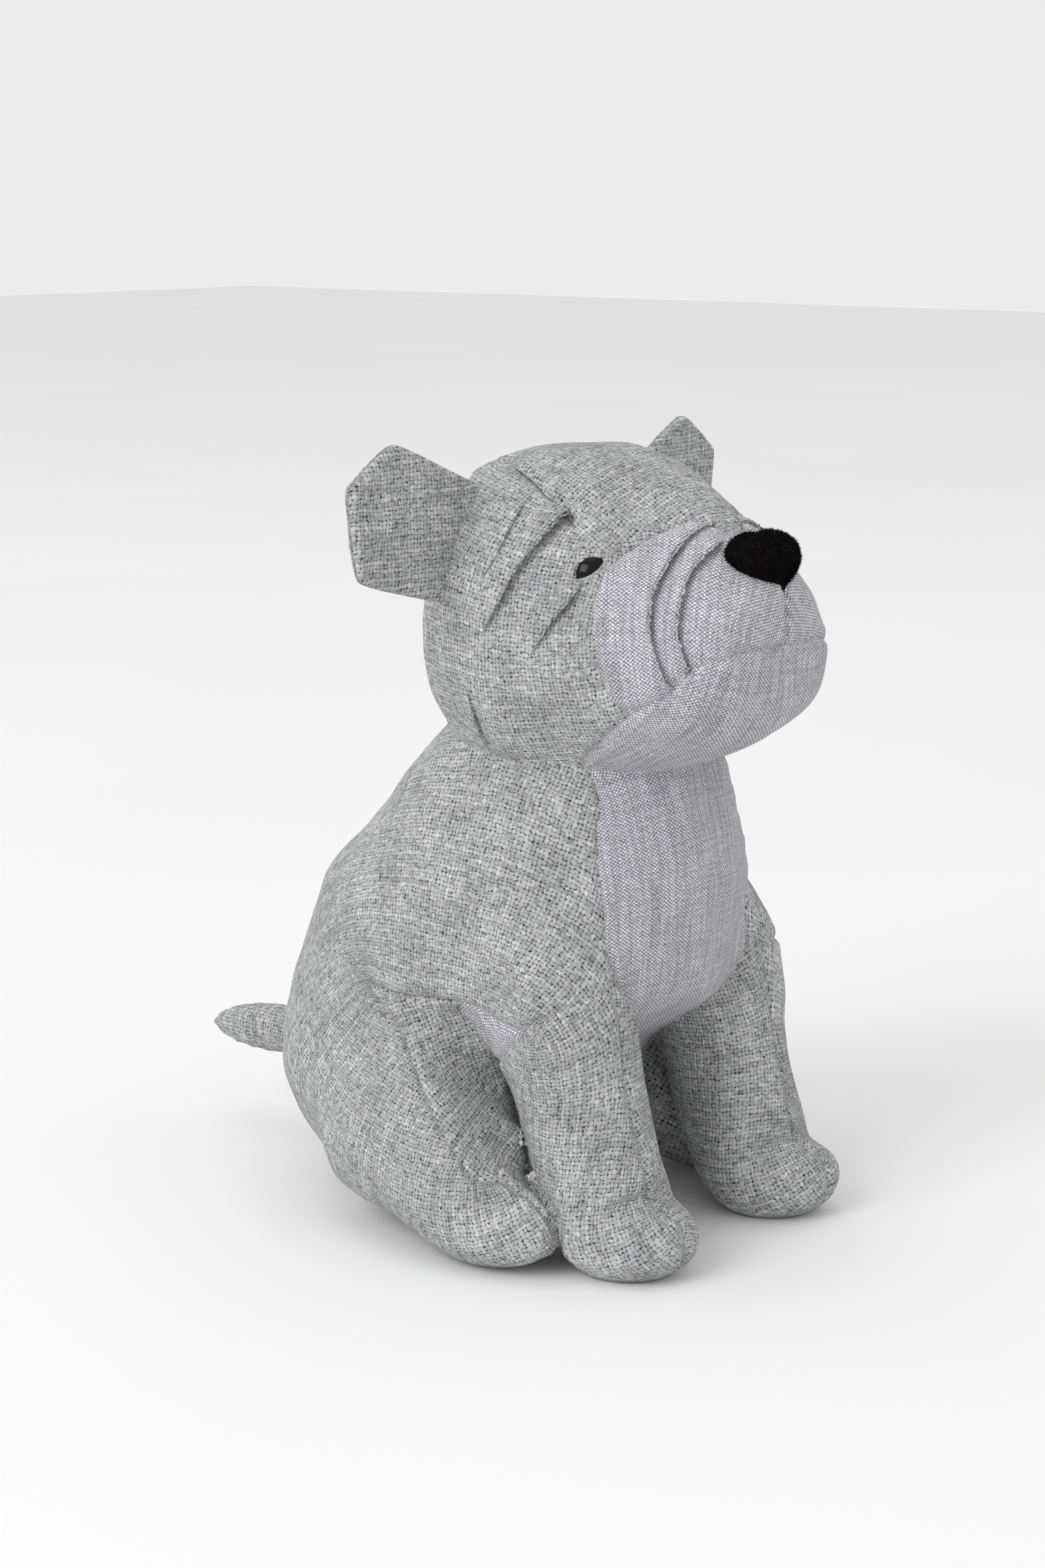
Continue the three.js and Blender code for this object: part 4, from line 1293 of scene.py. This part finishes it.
def woven(name, pitch, warp, weft, gap, bump, mottle=2.0, streak=0.15, marks=(0.2, 0.2), favour=0.0,
          wander=0.3, ragged=0.2, slub=0.2, fuzz=0.3, sheen=0.2, stretch=1.0):
    """Plain weave. pitch is the yarn spacing in mm, warp and weft are colour ramps, gap is the shade
    left in the holes between yarns, mottle is how many crossings one colour runs along a yarn,
    streak and marks are the strength of soft patches and of odd yarns, favour lifts the weft, wander
    and ragged bend the yarns over long and short stretches, slub is how much a yarn's thickness
    varies, fuzz is the strength of loose fibres, and stretch makes the cells wider and lower."""
    s = Shade(name)
    uv = s.put("ShaderNodeUVMap", uv_map="cloth").outputs[0]
    mm = s.vector("MULTIPLY_ADD", uv, (FLAT_UNIT, FLAT_UNIT, 0.0), (0.0, 0.0, 0.0))
    half = (0.5, 0.5, 0.5)
    bend = s.noise(mm, 0.16 / pitch)[1]
    small = s.noise(mm, 0.9 / pitch, 1.0)[1]
    cell = s.vector("MULTIPLY", mm, (1 / pitch / stretch, stretch / pitch, 0.0))
    cell = s.vector("MULTIPLY_ADD", s.vector("SUBTRACT", bend, half), (wander * 4, wander * 4, 0.0), cell)
    cell = s.vector("MULTIPLY_ADD", s.vector("SUBTRACT", small, half), (ragged * 4, ragged * 4, 0.0), cell)
    x, y, _ = s.put("ShaderNodeSeparateXYZ", {0: cell}).outputs
    i, j = s.math("FLOOR", x), s.math("FLOOR", y)
    fx = s.less(s.less(x, i), 0.5)
    fy = s.less(s.less(y, j), 0.5)
    odd = s.math("FLOORED_MODULO", s.math("ADD", i, j), 2.0)
    lift = s.scaled(odd, -2.0, 1.0)                      # 1 where the warp is on top
    # yarn thickness changes from yarn to yarn and along each yarn
    warp_run = s.noise(s.point(s.times(i, 7.31), s.times(y, 0.3), 0.0), 1.0, 2.0)[0]
    weft_run = s.noise(s.point(s.times(x, 0.3), s.times(j, 5.77), 31.0), 1.0, 2.0)[0]
    warp_half = s.scaled(warp_run, slub * 2, 0.5 - slub)
    weft_half = s.scaled(weft_run, slub * 2, 0.5 - slub)

    def round_yarn(across, size):
        r = s.math("DIVIDE", across, size)
        return s.math("SQRT", s.math("MAXIMUM", s.less(1.0, s.times(r, r)), 0.0))

    wave_warp = s.times(s.math("COSINE", s.times(fy, math.pi)), lift)
    wave_weft = s.times(s.math("COSINE", s.times(fx, math.pi)),
                       s.times(lift, -1.0))
    high_warp = s.scaled(wave_warp, 0.5, s.times(round_yarn(fx, warp_half), 0.7))
    high_weft = s.scaled(wave_weft, 0.5, s.times(round_yarn(fy, weft_half), 0.7))
    top_warp = s.math("GREATER_THAN", high_warp, s.math("ADD", high_weft, favour))
    height = s.math("MAXIMUM", high_warp, high_weft)
    # colour along each yarn
    warp_tone = s.noise(s.point(s.times(i, 3.7), s.times(y, 1 / mottle), 5.0),
                        1.0, 3.0, 0.65)[0]
    weft_tone = s.noise(s.point(s.times(x, 1 / mottle), s.times(j, 4.3), 9.0),
                        1.0, 3.0, 0.65)[0]
    colour = s.mix(top_warp, s.ramp(weft_tone, weft), s.ramp(warp_tone, warp))
    # odd yarns, lighter or darker for a stretch, and soft patches
    warp_odd = s.noise(s.point(s.times(i, 5.3), s.times(y, 0.03), 2.0), 1.0, 1.0)[0]
    weft_odd = s.noise(s.point(s.times(x, 0.05), s.times(j, 0.9), 8.0), 1.0, 2.0)[0]
    tone = s.smoothstep(s.noise(mm, 0.05, 3.0, 0.6)[0], 0.3, 0.7, 1 - streak, 1 + streak)
    tone = s.times(tone, s.smoothstep(warp_odd, 0.3, 0.72, 1 + marks[0] * 0.5, 1 - marks[0]))
    tone = s.times(tone, s.smoothstep(weft_odd, 0.35, 0.68, 1 + marks[1] * 0.4, 1 - marks[1]))
    # fibres, and shade in the gaps
    fibre = s.noise(mm, 5.0 / pitch, 3.0, 0.65)[0]
    tone = s.times(tone, s.scaled(fibre, fuzz * 2, 1 - fuzz))
    uneven = s.noise(mm, 0.75 / pitch, 1.0)[0]
    depth = s.scaled(s.less(uneven, 0.5), 1.1, height)
    depth = s.scaled(s.less(fibre, 0.5), 0.6, depth)
    tone = s.times(tone, s.smoothstep(depth, 0.2, 0.95, gap, 1.0))
    colour = s.vector("MULTIPLY", colour, s.point(tone, tone, tone))
    relief = s.scaled(fibre, 0.3, depth)
    return s.finish(Base_Color=colour, Normal=s.bump(relief, bump * MM), Roughness=0.92, Sheen_Weight=sheen,
                    Sheen_Roughness=0.6, Specular_IOR_Level=0.2)


def grey(value, warm=0.0, cool=0.0):
    return (value * (1 + warm), value, value * (1 + cool))


TWEED_YARN = [(0.26, grey(0.27, -0.05, 0.12)), (0.42, grey(0.54, -0.03, 0.04)),
              (0.56, grey(0.71, -0.01, -0.02)), (0.72, grey(0.84, 0.01, -0.07))]
WHITE_YARN = [(0.2, grey(0.68, 0.01, 0.06)), (0.45, grey(0.76, 0.01, 0.04)), (0.75, grey(0.84, 0.0, 0.03))]
SLATE_YARN = [(0.25, grey(0.22, 0.03, 0.2)), (0.5, grey(0.33, 0.02, 0.15)), (0.75, grey(0.44, 0.01, 0.1))]
TWEED = woven("tweed", 1.4, TWEED_YARN, TWEED_YARN, gap=0.0, bump=0.7, marks=(0.12, 0.2), streak=0.12,
              fuzz=0.75, ragged=0.27, slub=0.26)
CHAMBRAY = woven("chambray", 0.7, SLATE_YARN, WHITE_YARN, gap=0.12, bump=0.18, mottle=5, streak=0.04,
                 marks=(0.22, 0.14), favour=0.16, wander=0.16, ragged=0.1, slub=0.1, fuzz=0.2, sheen=0.1,
                 stretch=1.12)


def fibre_fill():
    s = Shade("fibre")
    place = s.place()
    tuft = s.noise(place, 130.0, 4.0, 0.7)[0]
    strand = s.noise(s.vector("MULTIPLY", place, (400.0, 60.0, 400.0)), 3.0, 2.0)[0]
    both = s.math("ADD", s.times(tuft, 0.7), s.times(strand, 0.3))
    colour = s.ramp(both, [(0.3, grey(0.72, 0.01, -0.02)), (0.6, grey(0.88))])
    return s.finish(Base_Color=colour, Normal=s.bump(both, 0.0012), Roughness=0.95, Sheen_Weight=0.3)


def moulded(name, low, high, roughness, scale=60.0, gloss=0.5):
    s = Shade(name)
    place = s.place()
    grain = s.noise(place, scale, 3.0)[0]
    return s.finish(Base_Color=s.ramp(grain, [(0.35, low), (0.65, high)]), Normal=s.bump(grain, 0.00004),
                    Roughness=roughness, Specular_IOR_Level=gloss)


def short_fur():
    s = Shade("fur")
    place = s.place()
    tuft = s.noise(place, 350.0, 3.0, 0.6)[0]
    colour = s.ramp(tuft, [(0.3, (0.0022, 0.002, 0.002)), (0.7, (0.008, 0.0066, 0.006))])
    return s.finish(Base_Color=colour, Roughness=0.85, Sheen_Weight=0.0, Specular_IOR_Level=0.08)


MATERIALS = {
    "tweed": TWEED, "chambray": CHAMBRAY, "fibre_fill": fibre_fill(), "nose_fur": short_fur(),
    "eye_plastic": moulded("eye", grey(0.002), grey(0.004), 0.16, 40.0, 0.22),
    "washer_plastic": moulded("washer", grey(0.6), grey(0.68), 0.45),
    "pellets": moulded("pellets", grey(0.55, 0.0, 0.05), grey(0.75), 0.4, 300.0),
    "calico": moulded("calico", grey(0.55, 0.06, -0.15), grey(0.66, 0.05, -0.12), 0.95, 900.0),
}
for obj in pieces.values():
    obj.data.materials.append(MATERIALS[obj["cloth"]])
CARRIED = {                       # hidden nodes that keep their CAD form
    "eye_washer_left": "washer_plastic", "eye_washer_right": "washer_plastic", "weight_bag": "calico",
    "weight_pellets": "pellets"}
for node, kind in CARRIED.items():
    carried = bpy.data.objects[node]
    carried.data.materials.clear()
    carried.data.materials.append(MATERIALS[kind])

# ---------------------------------------------------------------- camera, light and floor
AZIMUTH, ELEVATION, DISTANCE = math.radians(-50.5), math.radians(11.3), 1.05
TARGET = Vector((0, -0.0207, 0.1442))
camera_data = bpy.data.cameras.new("camera")
camera_data.lens = 70.7
camera_data.sensor_width = 36
camera = linked("camera", camera_data)
away = Vector((math.sin(AZIMUTH) * math.cos(ELEVATION), -math.cos(AZIMUTH) * math.cos(ELEVATION),
               math.sin(ELEVATION)))
camera.location = TARGET + away * DISTANCE
camera.rotation_euler = (-away).to_track_quat("-Z", "Y").to_euler()
bpy.context.scene.camera = camera
bpy.context.scene.view_settings.view_transform = "Standard"


def lamp(name, place, size, power):
    """A square lamp aimed at the dog, in metres and watts."""
    data = bpy.data.lights.new(name, "AREA")
    data.energy, data.size = power, size
    obj = linked(name, data)
    obj.location = place
    obj.rotation_euler = (TARGET - Vector(place)).to_track_quat("-Z", "Y").to_euler()


lamp("key", (-3.2, 0.2, 2.2), 2.0, 60)
lamp("top", (-0.2, 0.4, 3.8), 2.8, 13)
world = bpy.data.worlds.new("studio")
bpy.context.scene.world = world
world.use_nodes = True
world.node_tree.nodes["Background"].inputs[0].default_value = (1, 1, 1, 1)
world.node_tree.nodes["Background"].inputs[1].default_value = 0.84

floor = new_object("floor", [(-6, -6, 0), (6, -6, 0), (6, 6, 0), (-6, 6, 0)], [(0, 1, 2, 3)], smooth=False)
floor.location.z = -0.0002
s = Shade("floor_paint")
soft = s.ramp(s.noise(s.place(), 3.0)[0], [(0.3, grey(0.85)), (0.7, grey(0.87))])
floor.data.materials.append(s.finish(Base_Color=soft, Roughness=0.9))

# ---------------------------------------------------------------- bodies
NECK_START, NECK_END = (0, 0, 0.112), (0, 0, 0.148)
TAIL_START, TAIL_END = (0, 0.056, 0.0355), (0, 0.082, 0.0355)
NOD_WAY = np.array([0, -0.451, 0.892])        # a slant up through the neck, toward the head covers
NOD_START, NOD_END = to_frame(NOD_WAY * 163), to_frame(NOD_WAY * 192)
LEG_START, LEG_END = (to_frame(LEG_PLANE_POINT + LEG_PLANE_DOWN * down) for down in (2, 34))
for node, obj in pieces.items():
    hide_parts(node)
    word = node.split("_")[-1]                # left or right, where the node has a side
    if node.startswith("front_leg"):
        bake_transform(obj)
        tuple(LEG_START)
        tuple(LEG_END)
    elif node.startswith("tail"):
        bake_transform(obj)
        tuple(TAIL_START)
        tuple(TAIL_END)
    elif node.startswith(("body_side", "chest", "torso_filling")):
        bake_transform(obj)
        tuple(NECK_START)
        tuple(NECK_END)
    elif node.startswith("ear"):
        out = 1 if word == "left" else -1
        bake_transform(obj)
    elif node.startswith(("cheek", "crown", "muzzle", "chin", "head_filling")):
        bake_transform(obj)
        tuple(NOD_START)
        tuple(NOD_END)
    elif node.startswith(("nose", "eye")):
        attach(obj, "head")
    elif node.startswith("neck"):
        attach(obj, "neck")
    else:
        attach(obj, "torso")
